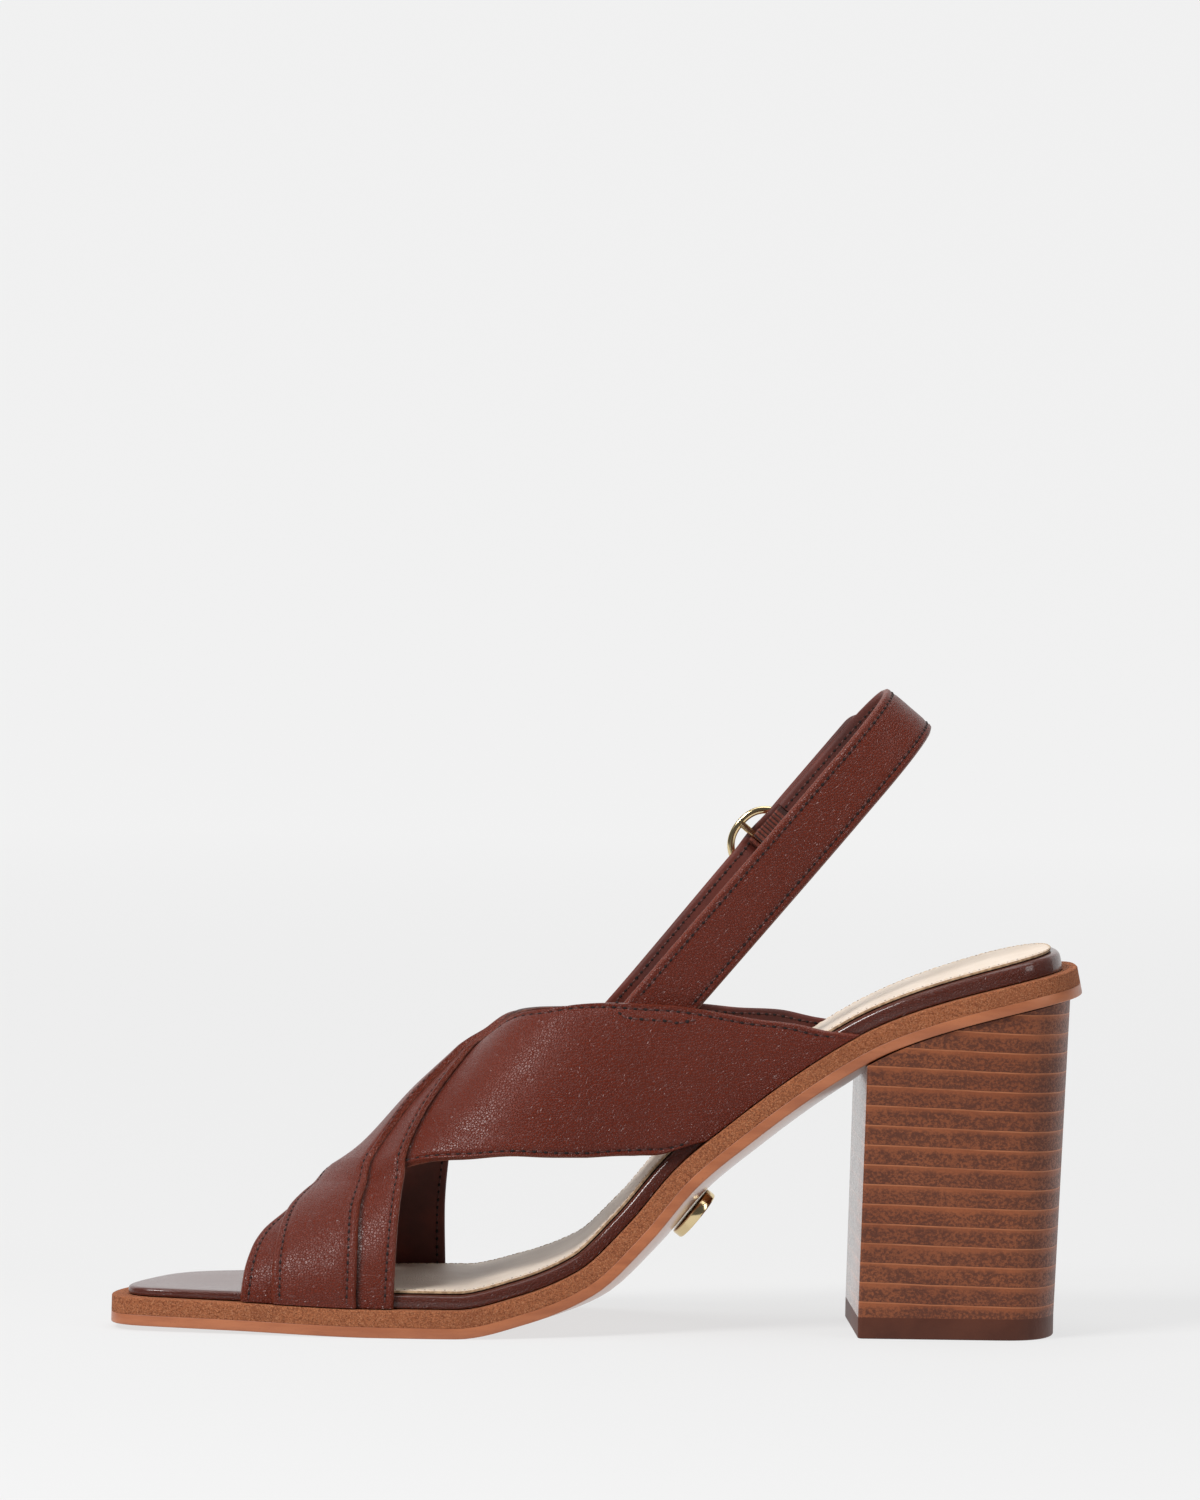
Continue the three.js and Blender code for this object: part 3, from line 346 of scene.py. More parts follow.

# %% [markdown]
# The sole's edge has two bands. The welt is split leather, left rough and pitted. Its flecked
# tone is darker in the pits, partly its own mottling and partly painted shade, and its finest
# pale specks are painted highlight. The outsole's edge under it is sanded smooth and dyed. Its
# underside is polished, so it mirrors the pale floor at a low angle.

# %% Sole finishes
welt = Shader("rough_edge_leather")
fleck = welt.noise(2400, 4, .7, stretch=(.8, .8, 1))
patch = welt.noise(75, 3, .6)
# Flecks follow the bump: darker in the pits, partly mottling and partly painted shade.
tone = welt.blend(welt.ramp(fleck, .36, .6), rgb(126, 68, 42), rgb(176, 106, 68))
tone = welt.blend(welt.ramp(patch, .48, .75, 0, .5), tone, rgb(132, 74, 48))
# Finest pale specks: painted highlight.
tone = welt.blend(welt.ramp(welt.noise(3200, 2, .6), .5, .66, 0, .6), tone, rgb(206, 144, 104))
welt.finish(tone, .85, welt.bump(welt.noise(2000, 4, .7), .0005, welt.bump(fleck, .00035)))
welt.set(Specular_IOR_Level=.25)

edge = Shader("smooth_edge_leather")
streak = edge.noise(50, 4, .6, stretch=(1, 1, 6))
tone = edge.blend(edge.ramp(streak, .3, .7), rgb(156, 90, 57), rgb(178, 108, 70))
tone = edge.blend(edge.ramp(edge.noise(1500, 3), .6, .8, 0, .35), tone, rgb(110, 60, 40))
edge.finish(tone, .42, edge.bump(edge.noise(900, 3), .00008))
edge.set(Coat_Weight=.15, Coat_Roughness=.35)

under = Shader("polished_underside")
tone = under.blend(under.ramp(under.noise(40, 4, .6), .3, .7), rgb(150, 96, 66), rgb(172, 116, 82))
under.finish(tone, .28, under.bump(under.noise(500, 3), .00004))
under.set(Coat_Weight=.5, Coat_Roughness=.16)

sock = Shader("sock_leather")
pebble = sock.cells(1300)
tone = sock.blend(sock.ramp(sock.noise(45, 4, .6), .3, .75), rgb(218, 200, 182), rgb(234, 219, 203))
sock.finish(tone, .5, sock.bump(sock.ramp(pebble, 0, .2), .00005, sock.bump(sock.noise(120, 3), .0001)))
sock_edge = Shader("sock_edge")
sock_edge.finish(sock_edge.blend(sock_edge.ramp(sock_edge.noise(900), .4, .6), rgb(150, 118, 88), rgb(190, 158, 124)), .7)
print("sole finishes made")

# %% [markdown]
# The heel is stacked leather: about fifteen layers, each with a painted highlight line along
# its top where it meets the next and dark mottled pits below. The layers lean a little, so they
# are cut from a height that is bent by the distance from the heel's middle. Waves of noise keep
# them from looking ruled.

# %% Stacked heel
def stacked(name, gloss, coat):
    s = Shader(name)
    parts = s.node("ShaderNodeSeparateXYZ")
    s.link(s.place, parts.inputs[0])
    x, z = parts.outputs["X"], parts.outputs["Z"]
    lean = s.math("MULTIPLY", s.math("SUBTRACT", x, .0865), s.math("ADD", s.math("MULTIPLY", z, .3), .018))
    wave = s.math("MULTIPLY", s.math("SUBTRACT", s.noise(50, 3, .5, stretch=(1, 1, .2)), .5), .0007)
    level = s.math("ADD", s.math("ADD", z, lean), s.math("SUBTRACT", wave, .0085))
    layer = s.math("DIVIDE", level, .00477)
    share, number = s.math("FRACT", layer), s.math("FLOOR", layer)
    shade = s.node("ShaderNodeTexWhiteNoise", noise_dimensions="1D")
    s.link(number, shade.inputs["W"])
    pits = s.noise(1500, 4, .75, stretch=(.8, .8, 1))
    cluster = s.noise(160, 3, .6, stretch=(.7, .7, 1.3))
    dark = s.math("ADD", s.math("MULTIPLY", pits, .8), s.math("MULTIPLY", cluster, .2))
    ragged = s.math("ADD", share, s.math("MULTIPLY", s.math("SUBTRACT", cluster, .5), .5))
    lower = s.ramp(ragged, .6, .9, 1, .18)
    amount = s.math("MULTIPLY", s.ramp(dark, .44, .58, 1, 0), lower)
    ground = s.blend(s.ramp(s.noise(45, 3, .6), .3, .7), rgb(136, 72, 41), rgb(153, 86, 51))
    ground = s.blend(s.math("MULTIPLY", shade.outputs[0], .25), ground, rgb(116, 64, 42))
    ground = s.blend(s.math("MULTIPLY", lower, .35), ground, rgb(104, 58, 38))
    tone = s.blend(s.math("MULTIPLY", amount, .75), ground, rgb(66, 34, 26))
    # Painted highlight: a pale line along the top edge of each layer.
    top = s.math("SUBTRACT", 1.0, share)
    fringe = s.ramp(s.noise(140, 3, .6, stretch=(1, 1, .3)), .3, .6, .3, .9)
    line = s.math("MULTIPLY", s.ramp(top, .03, .1, 1, 0), fringe)
    tone = s.blend(line, tone, rgb(176, 108, 70))
    tone = s.blend(s.ramp(share, 0, .045, .6, 0), tone, rgb(76, 40, 28))
    height = s.math("ADD", s.math("MULTIPLY", dark, .6), s.math("MULTIPLY", line, .3))
    s.finish(tone, s.ramp(dark, .4, .6, gloss + .12, gloss), s.bump(height, .00018))
    s.set(Coat_Weight=coat, Coat_Roughness=.22, Specular_IOR_Level=.28)


stacked("stacked_heel", .45, .12)
stacked("polished_heel_front", .2, .7)
rubber = Shader("dark_rubber")
rubber.finish(rubber.blend(rubber.ramp(rubber.noise(90, 3), .3, .7), rgb(76, 36, 22), rgb(88, 45, 29)), .5,
              rubber.bump(rubber.noise(700, 3), .00008))
rubber.set(Specular_IOR_Level=.3)
gold = Shader("pale_gold")
gold.finish(rgb(226, 204, 158), .14, gold.bump(gold.noise(400, 2), .000012))
gold.set(Metallic=1.0)
elastic = Shader("dark_elastic")
# Darker in the valleys between the ribs, lighter on their crests: painted shade.
rib_shade_tone = elastic.blend(elastic.ramp(elastic.measure("rib"), .25, .8), rgb(30, 12, 9), rgb(118, 52, 36))
elastic.finish(elastic.blend(elastic.ramp(elastic.noise(2200, 3), .35, .65, .5, 0), rib_shade_tone, rgb(40, 18, 13)), .75,
               elastic.bump(elastic.noise(2600, 2), .0001))
print(len(finishes), "finishes")

# %% [markdown]
# The sole's layers are rings stacked along the normal of its curved profile. Superellipse
# ends give the squared toe and the squarish seat. Rings are joined by quads, and each end is
# closed by a ladder of quads between the inner and the outer side.

# %% Rings of the sole
END_STEPS, BODY_STEPS = 14, 90


def end_steps(radius, power, count=END_STEPS):
    angle = np.arange(count) / count * math.pi / 2
    return radius * (1 - np.cos(angle) ** (2 / power)), np.sin(angle) ** (2 / power)


def plan_stations(front, back, front_round, back_round, inset):
    start, end = front + inset, back - inset
    fr, br = max(1, front_round - inset), max(1, back_round - inset)
    toe_run, toe_width = end_steps(fr, 3)
    heel_run, heel_width = end_steps(br, 2.7)
    body = np.linspace(start + fr, end - br, BODY_STEPS + 1)
    s = np.concatenate([start + toe_run, body, (end - heel_run)[::-1]])
    w = np.concatenate([toe_width, np.ones(len(body)), heel_width[::-1]])
    return s, w


FULL = (-L / 2, L / 2, 17, 22)


def sole_ring(inset, level, squeeze=1.0, plan=FULL, ledge=None):
    s, w = plan_stations(*plan, inset if ledge is None else 0)
    drawn = inset if ledge is None else ledge
    height = level(s) if callable(level) else np.full(len(s), level)
    near = sole_point(s, -(inner_half(s) - drawn) * w * squeeze, height)
    far = sole_point(s, (outer_half(s) - drawn) * w * squeeze, height)
    return np.concatenate([near, far[1:-1][::-1]])


def ring_faces(rings, count, tips=True, caps=(True, True)):
    faces = []
    for i in range(rings - 1):
        for j in range(count):
            k = (j + 1) % count
            faces.append((i * count + j, i * count + k, (i + 1) * count + k, (i + 1) * count + j))
    side = len(faces)
    for layer, wanted in zip((0, rings - 1), caps):
        if not wanted:
            continue
        for j in range(count // 2):
            a, b = j, j + 1
            c, d = (count - b) % count, (count - a) % count
            corners = [layer * count + q for q in dict.fromkeys((a, b, c, d))]
            if len(corners) > 2:
                faces.append(tuple(corners))
    return faces, side


def sole_layer(name, rings, finish, node, face_finish=None, sharp=35):
    points = np.concatenate(rings)
    faces, side = ring_faces(len(rings), len(rings[0]))
    chosen = None
    if face_finish is not None:
        count = len(rings[0])
        chosen = []
        for i in range(len(faces)):
            row = i // count if i < side else (0 if i < side + count // 2 else len(rings))
            chosen.append(face_finish(row, i < side))
    return piece(name, points, faces, finish, (node,), chosen, sharp=sharp)


# %% Outsole, welt, insole and sock
def rounded(low, high, radius_low, radius_high, steps=4):
    """Insets and levels up the edge of a layer with rounded corners."""
    out = []
    for q in np.linspace(0, math.pi / 2, steps + 1):
        out.append((radius_low * (1 - math.sin(q)), low + radius_low * (1 - math.cos(q))))
    for q in np.linspace(0, math.pi / 2, steps + 1):
        out.append((radius_high * (1 - math.cos(q)), high - radius_high * (1 - math.sin(q))))
    return out


edge_rows = rounded(0, OUTSOLE + .1, .3, .12)
below = [sole_ring(.3, lambda s, k=k: -bulge(s) * (1 - k * k), k) for k in (.12, .25, .4, .55, .7, .82, .93)]
rings = below + [sole_ring(i, d) for i, d in edge_rows]
sole_layer("outsole_dressed", rings, ["smooth_edge_leather", "polished_underside"], "outsole",
           lambda row, side: 1 if row < len(below) else 0, sharp=60)

rows = rounded(OUTSOLE + .12, WELT_TOP, .12, .35)
sole_layer("welt_dressed", [sole_ring(i, d) for i, d in rows], "rough_edge_leather", "welt")

folds = [(0, 0), (-.05, .2), (-.05, .45), (0, .66), (.1, .79), (.35, .89), (.7, .95), (1.2, .985), (2.0, 1), (3.8, 1)]
rings = [sole_ring(LEDGE + i, lambda s, d=d: SEAT_LEVEL + padding(s) * d) for i, d in folds]
sole_layer("insole_dressed", rings, "insole_leather", "insole", sharp=60)

sock_plan = (55 - L / 2, L / 2 - LEDGE - SOCK_MARGIN, 8, 22 - LEDGE - SOCK_MARGIN)
rings = [sole_ring(0, lambda s, r=r: SEAT_LEVEL + padding(s) + CLEARANCE + r, 1, sock_plan, LEDGE + SOCK_MARGIN + g)
         for r, g in ((0, 0), (.45, 0), (.57, .06), (.6, .2), (.62, 1.2))]
sole_layer("sock_dressed", rings, ["sock_leather", "sock_edge"], "sock_lining",
           lambda row, side: 0 if row >= 2 and side or row > 3 else 1, sharp=50)

# %% [markdown]
# The heel is a short block with a flat polished front and a rounded back. Its top follows
# the sole's underside, so each point of its outline is carried up to meet it.

# %% Heel block and top lift
LIFT = 5.2


def heel_ring(share, height, squeeze=1.0, shrink=0.0):
    front = 179.4 - L / 2 + share * 1.0 + shrink
    length = 49.2 + share * 1.5 - 2 * shrink
    half = (.3125 + .025 * share) * BALL_WIDTH - shrink
    q = np.linspace(0, math.pi / 2, 7)
    r = 1.0
    front_x = r * (1 - np.sin(q))[::-1]
    front_y = half - r * (1 - np.cos(q))[::-1]
    back_run, back_width = end_steps(15 - shrink, 2.5, 12)
    x = np.concatenate([front_x, np.linspace(r, length - 15 + shrink, 16)[1:-1], [length - 15 + shrink], (length - back_run)[::-1]])
    w = np.concatenate([front_y, np.full(15, half), (half * back_width)[::-1]])
    order = np.argsort(x, kind="stable")
    x, w = x[order], w[order]
    near = np.stack([front + x, -w * squeeze, np.zeros(len(x))], -1)
    far = np.stack([front + x, w * squeeze, np.zeros(len(x))], -1)
    middle = np.array([[front + x[0], 0, 0]])
    ring = np.concatenate([middle, near, far[:-1][::-1]])
    ring[:, 2] = height(ring[:, 0], ring[:, 1]) if callable(height) else height
    return ring


def heel_seat(x, y):
    s = station_under(x, y, 0)
    half = np.where(y < 0, inner_half(s), outer_half(s))
    across = np.minimum(1, np.abs(y) / (half - .5))
    return sole_height(x, y, -bulge(s) * (1 - across ** 2) - CLEARANCE)


def between(ring_low, ring_high, share):
    return ring_low + (ring_high - ring_low) * share


low, high = heel_ring(0, LIFT), heel_ring(1, heel_seat)
rings = [between(low, high, t) for t in np.linspace(0, 1, 13)] + [heel_ring(1, heel_seat, k) for k in (.75, .5, .25, .08)]
points = np.concatenate(rings)
faces, side = ring_faces(len(rings), len(low))
middle_of = np.array([points[list(f)].mean(0) for f in faces])
is_front = [int(m[0] < 62.4 + .25 + 1.0 * (m[2] / 80) and abs(m[1]) < 26.6) for m in middle_of]
piece("heel_dressed", points, faces, ["stacked_heel", "polished_heel_front"], ("heel_block",), is_front, sharp=50)

rings = [heel_ring(0, 0, 1, .4), heel_ring(0, .12, 1, .12), heel_ring(0, .4), heel_ring(0, LIFT)]
faces, side = ring_faces(len(rings), len(rings[0]))
piece("top_lift_dressed", np.concatenate(rings), faces, "dark_rubber", ("top_lift",), sharp=50)

# %% [markdown]
# The upper is lasted over a foot. A point of the foot is named by x along it and a share
# around it, from the inner sole edge over the ridge to the outer edge. Straps are bands of
# that surface, lifted by their thickness.

# %% The foot
def foot_edge(x, side):
    half = inner_half if side < 0 else outer_half
    found = []
    for level in (SEAT_LEVEL, SEAT_LEVEL + INSOLE):
        width = BALL_WIDTH * .375
        for _ in range(5):
            width = half(station_under(x, side * width, level)) - LEDGE + CLEARANCE
        found.append(width)
    width = np.maximum(*found)
    return width, sole_height(x, side * width, SEAT_LEVEL)


edge_x = np.linspace(-110, 90, 401)
edge_table = {side: foot_edge(edge_x, side) for side in (-1, 1)}


def foot_point(x, around):
    x, around = np.broadcast_arrays(np.asarray(x, float), np.asarray(around, float))
    side = np.where(around < .5, -1, 1)
    width = np.where(side < 0, np.interp(x, edge_x, edge_table[-1][0]), np.interp(x, edge_x, edge_table[1][0]))
    height = np.where(side < 0, np.interp(x, edge_x, edge_table[-1][1]), np.interp(x, edge_x, edge_table[1][1]))
    c = np.abs(np.cos(math.pi * around)) ** .93
    h = np.abs(np.sin(math.pi * around)) ** .93
    return np.stack([x, -3 * (1 - c) + side * width * c, height + (ridge(x) - height) * h], -1)


def foot_normal(x, around):
    along = foot_point(x + .5, around) - foot_point(x - .5, around)
    across = foot_point(x, np.minimum(1, around + .004)) - foot_point(x, np.maximum(0, around - .004))
    n = np.cross(along, across)
    n = n / np.linalg.norm(n, axis=-1, keepdims=True)
    upright = np.stack([np.zeros_like(n[..., 0]), np.where(around < .5, -1.0, 1.0), np.zeros_like(n[..., 0])], -1)
    flip = np.sign(n[..., 1] * foot_point(x, around)[..., 1] + n[..., 2])[..., None]
    n = n * np.where(flip == 0, 1, flip)
    at_sole = 1 - fade(0, .02, np.minimum(around, 1 - around))
    n = n * (1 - at_sole[..., None]) + upright * at_sole[..., None]
    return n / np.linalg.norm(n, axis=-1, keepdims=True)


def share_curve(rows, column):
    return curve_through([r[0] for r in rows], [r[column] * L - L / 2 for r in rows])


OVER = [(0, .128, .161, .247, .285), (.12, .132, .162, .249, .288), (.23, .14, .167, .252, .294),
        (.31, .152, .173, .26, .305), (.38, .172, .181, .275, .325), (.44, .189, .193, .308, .35),
        (.5, .206, .209, .362, .378), (.56, .225, .228, .403, .408), (.64, .252, .255, .436, .439),
        (.69, .275, .278, .463, .466), (.734, .302, .305, .5, .503), (.78, .35, .353, .539, .542),
        (.85, .425, .428, .6055, .6085), (.887, .483, .486, .643, .646), (.929, .526, .529, .69, .693),
        (.967, .564, .567, .727, .73), (1, .615, .618, .765, .768)]
UNDER = [(0, .605, .763), (.024, .566, .732), (.058, .534, .699), (.097, .493, .659), (.143, .432, .617),
         (.181, .388, .584), (.22, .347, .553), (.257, .314, .525), (.309, .282, .486), (.364, .26, .447),
         (.439, .238, .414), (.5, .224, .382), (.6, .208, .364), (.7, .196, .354), (.8, .187, .347),
         (.9, .179, .343), (1, .175, .345)]
over_front, panel_front, panel_rear, over_rear = (share_curve(OVER, k) for k in (1, 2, 3, 4))
under_front, under_rear = (share_curve(UNDER, k) for k in (1, 2))
AROUND = np.unique(np.concatenate([np.linspace(0, 1, 181), np.linspace(0, .02, 5), np.linspace(.98, 1, 5)]))
print("straps sampled at", len(AROUND), "sections")

# %% [markdown]
# A strap is a closed tube of leather: outer face, rolled edges, lining. The two faces share
# one grid, so a strap's thickness stays true. Leather isn't flat between its stitch rows, so
# the outer face swells a little there, and listed creases are pressed into it.

# %% A lasted strap
def crease(points, start, end, depth, width):
    """Depth at each point of a crease that runs from start to end, in millimetres."""
    a, b = np.array(start, float), np.array(end, float)
    t = np.clip(((points - a) @ (b - a)) / ((b - a) @ (b - a)), 0, 1)
    off = np.linalg.norm(points - (a + t[..., None] * (b - a)), axis=-1)
    taper = np.sin(math.pi * np.clip(t, .02, .98)) ** .6
    return -depth * taper * np.exp(-(off / width) ** 2)


def lasted_strap(name, front, rear, inner_at, outer_at, finish, replaces=(), columns=40, swell=.25, creases=(), spans=None,
                 hem=.1, shade_at=None):
    t = (1 - np.cos(np.linspace(0, math.pi, columns + 1))) / 2
    t = .35 * t + .65 * np.linspace(0, 1, columns + 1)
    around = AROUND if spans is None else AROUND[(AROUND >= spans[0]) & (AROUND <= spans[1])]
    v = np.broadcast_to(around[:, None], (len(around), len(t)))
    f, r = front(around)[:, None], rear(around)[:, None]
    x = f + (r - f) * t[None, :]
    base, normal = foot_point(x, v), foot_normal(x, v)
    gap = np.linalg.norm(np.diff(base, axis=1), axis=-1)
    run = np.concatenate([np.zeros((len(around), 1)), np.cumsum(gap, axis=1)], axis=1)
    edge_distance = np.minimum(run, run[:, -1:] - run)
    inner, outer = inner_at(x, v), outer_at(x, v)
    plump = swell * fade(1.2, 5, edge_distance) - .3 * np.exp(-((edge_distance - 2.1) / .42) ** 2)
    plump = plump + hem * np.exp(-((edge_distance - .9) / .8) ** 2)
    ends = fade(0, .03, np.minimum(v, 1 - v))
    outer = outer + plump * ends
    for start, end, depth, width in creases:
        outer = outer + crease(base, start, end, depth, width) * ends
    thick = outer - inner
    roll = np.clip(edge_distance / (thick * .5), 0, 1)
    rolled = thick * .5 * (1 - np.sqrt(1 - (1 - roll) ** 2))
    outer_face = base + normal * (outer - rolled)[..., None]
    inner_face = base + normal * (inner + rolled * .5)[..., None]
    floor_z = sole_height(base[..., 0], base[..., 1], SEAT_LEVEL)
    for side_index in (0, -1):
        outer_face[side_index, :, 2] = sole_height(outer_face[side_index, :, 0], outer_face[side_index, :, 1], SEAT_LEVEL)
        inner_face[side_index, :, 2] = floor_z[side_index]
    n, m = x.shape
    points = np.concatenate([outer_face.reshape(-1, 3), inner_face.reshape(-1, 3)])
    grid = np.arange(n * m).reshape(n, m)
    faces, kinds = [], []
    for i in range(n - 1):
        for j in range(m - 1):
            a, b, c, d = grid[i, j], grid[i, j + 1], grid[i + 1, j + 1], grid[i + 1, j]
            faces.append((a, b, c, d))
            kinds.append(0)
            faces.append((a + n * m, d + n * m, c + n * m, b + n * m))
            kinds.append(1)
        for j, flip in ((0, False), (m - 1, True)):
            a, b = grid[i, j], grid[i + 1, j]
            faces.append((a, b, b + n * m, a + n * m) if not flip else (a, a + n * m, b + n * m, b))
            kinds.append(2)
    for i, flip in ((0, True), (n - 1, False)):
        for j in range(m - 1):
            a, b = grid[i, j], grid[i, j + 1]
            faces.append((a, b, b + n * m, a + n * m) if not flip else (a, a + n * m, b + n * m, b))
            kinds.append(2)
    distances = np.concatenate([edge_distance.ravel(), np.full(n * m, 9.0)])
    shade = np.concatenate([(0 * x if shade_at is None else shade_at(x, v)).ravel(), np.zeros(n * m)])
    made = piece(name, points, faces, finish, replaces, kinds, {"edge_mm": distances, "shade": shade}, sharp=55)
    return made, outer_face, normal, run, around, inner_face


def behind(edge, width):
    """Share of shade on what lies just behind an edge that is folded over it."""
    return lambda x, v: np.where(x > edge(v) - .4, 1 - fade(.2, width, x - edge(v)), 0)


UNDER_THICK, OVER_THICK, BOND = 1.8, 1.6, .3


def climb(x, v):
    inside = np.minimum(x - under_front(v), under_rear(v) - x)
    return (UNDER_THICK - BOND) * fade(-5, 3, inside)


STRAP = ["strap_leather", "lining_leather", "cut_edge"]
under_creases = [((-30, -20, 70), (-8, -30, 48), .35, 5), ((-12, -18, 77), (22, -30, 52), .3, 7),
                 ((30, -26, 66), (48, -26, 60), .35, 4), ((-38, -27, 50), (-20, -29, 47), .3, 3)]
under_strap = lasted_strap("under_strap", under_front, under_rear, lambda x, v: 0 * x, lambda x, v: UNDER_THICK + 0 * x,
                           STRAP, ("upper",), 60, .3, under_creases, shade_at=behind(over_rear, 1.8))

# %% [markdown]
# The other strap is layered. A wide panel lies on two narrow underlays that show as steps
# in front of it and behind it, each with its own stitched edge. Two lasted bands make it: one
# under the whole strap for the underlays, and the panel on it.

# %% The layered strap
def panel_rise(v):
    return 1.3 + (.3 - 1.3) * fade(.48, .7, v)


def over_base(x, v):
    return BOND + climb(x, v)


base_columns = lasted_strap("over_strap_underlay", over_front, over_rear, over_base, lambda x, v: over_base(x, v) + OVER_THICK,
                            STRAP, (), 60, .1, shade_at=behind(panel_rear, 1.7))
panel_creases = [((-62, -30, 36), (-54, -26, 44), .3, 3), ((-70, -33, 22), (-58, -34, 26), .25, 3.5)]
panel = lasted_strap("over_strap_panel", panel_front, panel_rear, lambda x, v: over_base(x, v) + OVER_THICK * .55,
                     lambda x, v: over_base(x, v) + OVER_THICK + panel_rise(v), STRAP, (), 36, .3, panel_creases)

# %% [markdown]
# The sling and the buckle strap are flat straps bent along a path that lies in the sling's
# own slanted frame: up the strap, out across the foot, and towards the instep. One function
# sweeps a section with rolled edges along such a path.

# %% The sling's frame
SLING_ANGLE, SLING_REACH, SLING_TUCK, SLING_END = math.radians(50.4), 92.3, 7.0, 53.6
foot_x = .564 * L - L / 2
low, high = 0.0, .5
for _ in range(40):
    middle = (low + high) / 2
    low, high = (middle, high) if under_rear(middle) > foot_x else (low, middle)
held = foot_point(foot_x, low) + foot_normal(np.array(foot_x), np.array(low)) * UNDER_THICK
sling_origin = np.array([foot_x, 0, float(held[2]) + 1.0])
print("the sling starts at", sling_origin.round(2))
sling_axes = np.array([[math.cos(SLING_ANGLE), 0, math.sin(SLING_ANGLE)], [0, 1, 0],
                       [-math.sin(SLING_ANGLE), 0, math.cos(SLING_ANGLE)]])


def in_sling(points):
    return sling_origin + np.asarray(points) @ sling_axes


def slant(up):
    return (1 - fade(-SLING_TUCK, 1.8 * SLING_TUCK, up)) / math.tan(SLING_ANGLE)


def smooth_path(route, step=.8):
    """Centripetal curve through the route's points, sampled evenly."""
    p = np.array(route, float)
    p = np.concatenate([[2 * p[0] - p[1]], p, [2 * p[-1] - p[-2]]])
    knots = np.concatenate([[0], np.cumsum(np.linalg.norm(np.diff(p, axis=0), axis=1) ** .5)])
    out = []
    for i in range(1, len(p) - 2):
        t0, t1, t2, t3 = knots[i - 1:i + 3]
        count = max(2, int(np.linalg.norm(p[i + 1] - p[i]) / step * 1.5) + 1)
        for t in np.linspace(t1, t2, count, endpoint=False):
            a1 = (t1 - t) / (t1 - t0) * p[i - 1] + (t - t0) / (t1 - t0) * p[i]
            a2 = (t2 - t) / (t2 - t1) * p[i] + (t - t1) / (t2 - t1) * p[i + 1]
            a3 = (t3 - t) / (t3 - t2) * p[i + 1] + (t - t2) / (t3 - t2) * p[i + 2]
            b1 = (t2 - t) / (t2 - t0) * a1 + (t - t0) / (t2 - t0) * a2
            b2 = (t3 - t) / (t3 - t1) * a2 + (t - t1) / (t3 - t1) * a3
            out.append((t2 - t) / (t2 - t1) * b1 + (t - t1) / (t2 - t1) * b2)
    out.append(p[-2])
    out = np.array(out)
    run = np.concatenate([[0], np.cumsum(np.linalg.norm(np.diff(out, axis=0), axis=1))])
    even = np.linspace(0, run[-1], max(8, int(run[-1] / step)))
    return np.stack([np.interp(even, run, out[:, k]) for k in range(2)], -1), even


def flat_strap(name, route, thickness, width, middle, outward, finish, replaces, tip=0.0, columns=18,
               swell=.18, widths=None):
    path, run = smooth_path(route)
    along = np.gradient(path, axis=0)
    along /= np.linalg.norm(along, axis=1, keepdims=True)
    side = np.stack([-along[:, 1], along[:, 0]], -1) * outward
    t = (1 - np.cos(np.linspace(0, math.pi, columns + 1))) / 2
    t = .4 * t + .6 * np.linspace(0, 1, columns + 1)
    wide = np.full(len(run), width / 2) if widths is None else widths(path[:, 0]) / 2
    if tip:
        left = np.clip((run[-1] - run) / tip, 0, 1)
        wide = wide * np.maximum(.3, np.sqrt(1 - (1 - left) ** 2) ** .9)
    across = middle + (2 * t[None, :] - 1) * wide[:, None]
    edge_distance = np.minimum(t, 1 - t)[None, :] * 2 * wide[:, None]
    if tip:
        edge_distance = np.minimum(edge_distance, (run[-1] - run)[:, None])
    plump = swell * fade(1.2, 4.5, edge_distance) - .25 * np.exp(-((edge_distance - 1.9) / .42) ** 2)
    plump = plump + .08 * np.exp(-((edge_distance - .85) / .7) ** 2)
    roll = np.clip(edge_distance / (thickness * .5), 0, 1)
    rolled = thickness * .5 * (1 - np.sqrt(1 - (1 - roll) ** 2))
    out = thickness / 2 + np.minimum(plump, .14) - rolled
    into = -thickness / 2 + rolled * .6
    up = path[:, 0][:, None] - slant(path[:, 0])[:, None] * across
    n, m = across.shape
    faces_of = []
    for offset in (out, into):
        local = np.stack([up + side[:, 0][:, None] * offset, path[:, 1][:, None] + side[:, 1][:, None] * offset, across], -1)
        faces_of.append(in_sling(local))
    points = np.concatenate([faces_of[0].reshape(-1, 3), faces_of[1].reshape(-1, 3)])
    grid = np.arange(n * m).reshape(n, m)
    faces, kinds = [], []
    for i in range(n - 1):
        for j in range(m - 1):
            a, b, c, d = grid[i, j], grid[i, j + 1], grid[i + 1, j + 1], grid[i + 1, j]
            faces += [(a, b, c, d), (a + n * m, d + n * m, c + n * m, b + n * m)]
            kinds += [0, 1]
        for j in (0, m - 1):
            a, b = grid[i, j], grid[i + 1, j]
            faces.append((a, b, b + n * m, a + n * m))
            kinds.append(2)
    for i in (0, n - 1):
        for j in range(m - 1):
            a, b = grid[i, j], grid[i, j + 1]
            faces.append((a, b, b + n * m, a + n * m))
            kinds.append(2)
    distances = np.concatenate([edge_distance.ravel(), np.full(n * m, 9.0)])
    made = piece(name, points, faces, finish, replaces, kinds, {"edge_mm": distances}, sharp=55)
    normal = in_sling(np.stack([side[:, 0], side[:, 1], 0 * side[:, 0]], -1)) - sling_origin
    return made, faces_of, normal, path, edge_distance


# %% [markdown]
# The sling leaves the inner strap, rounds the back of the ankle and ends in an elastic on
# the outer side. Its branches stand close together, about as wide as a heel bone.

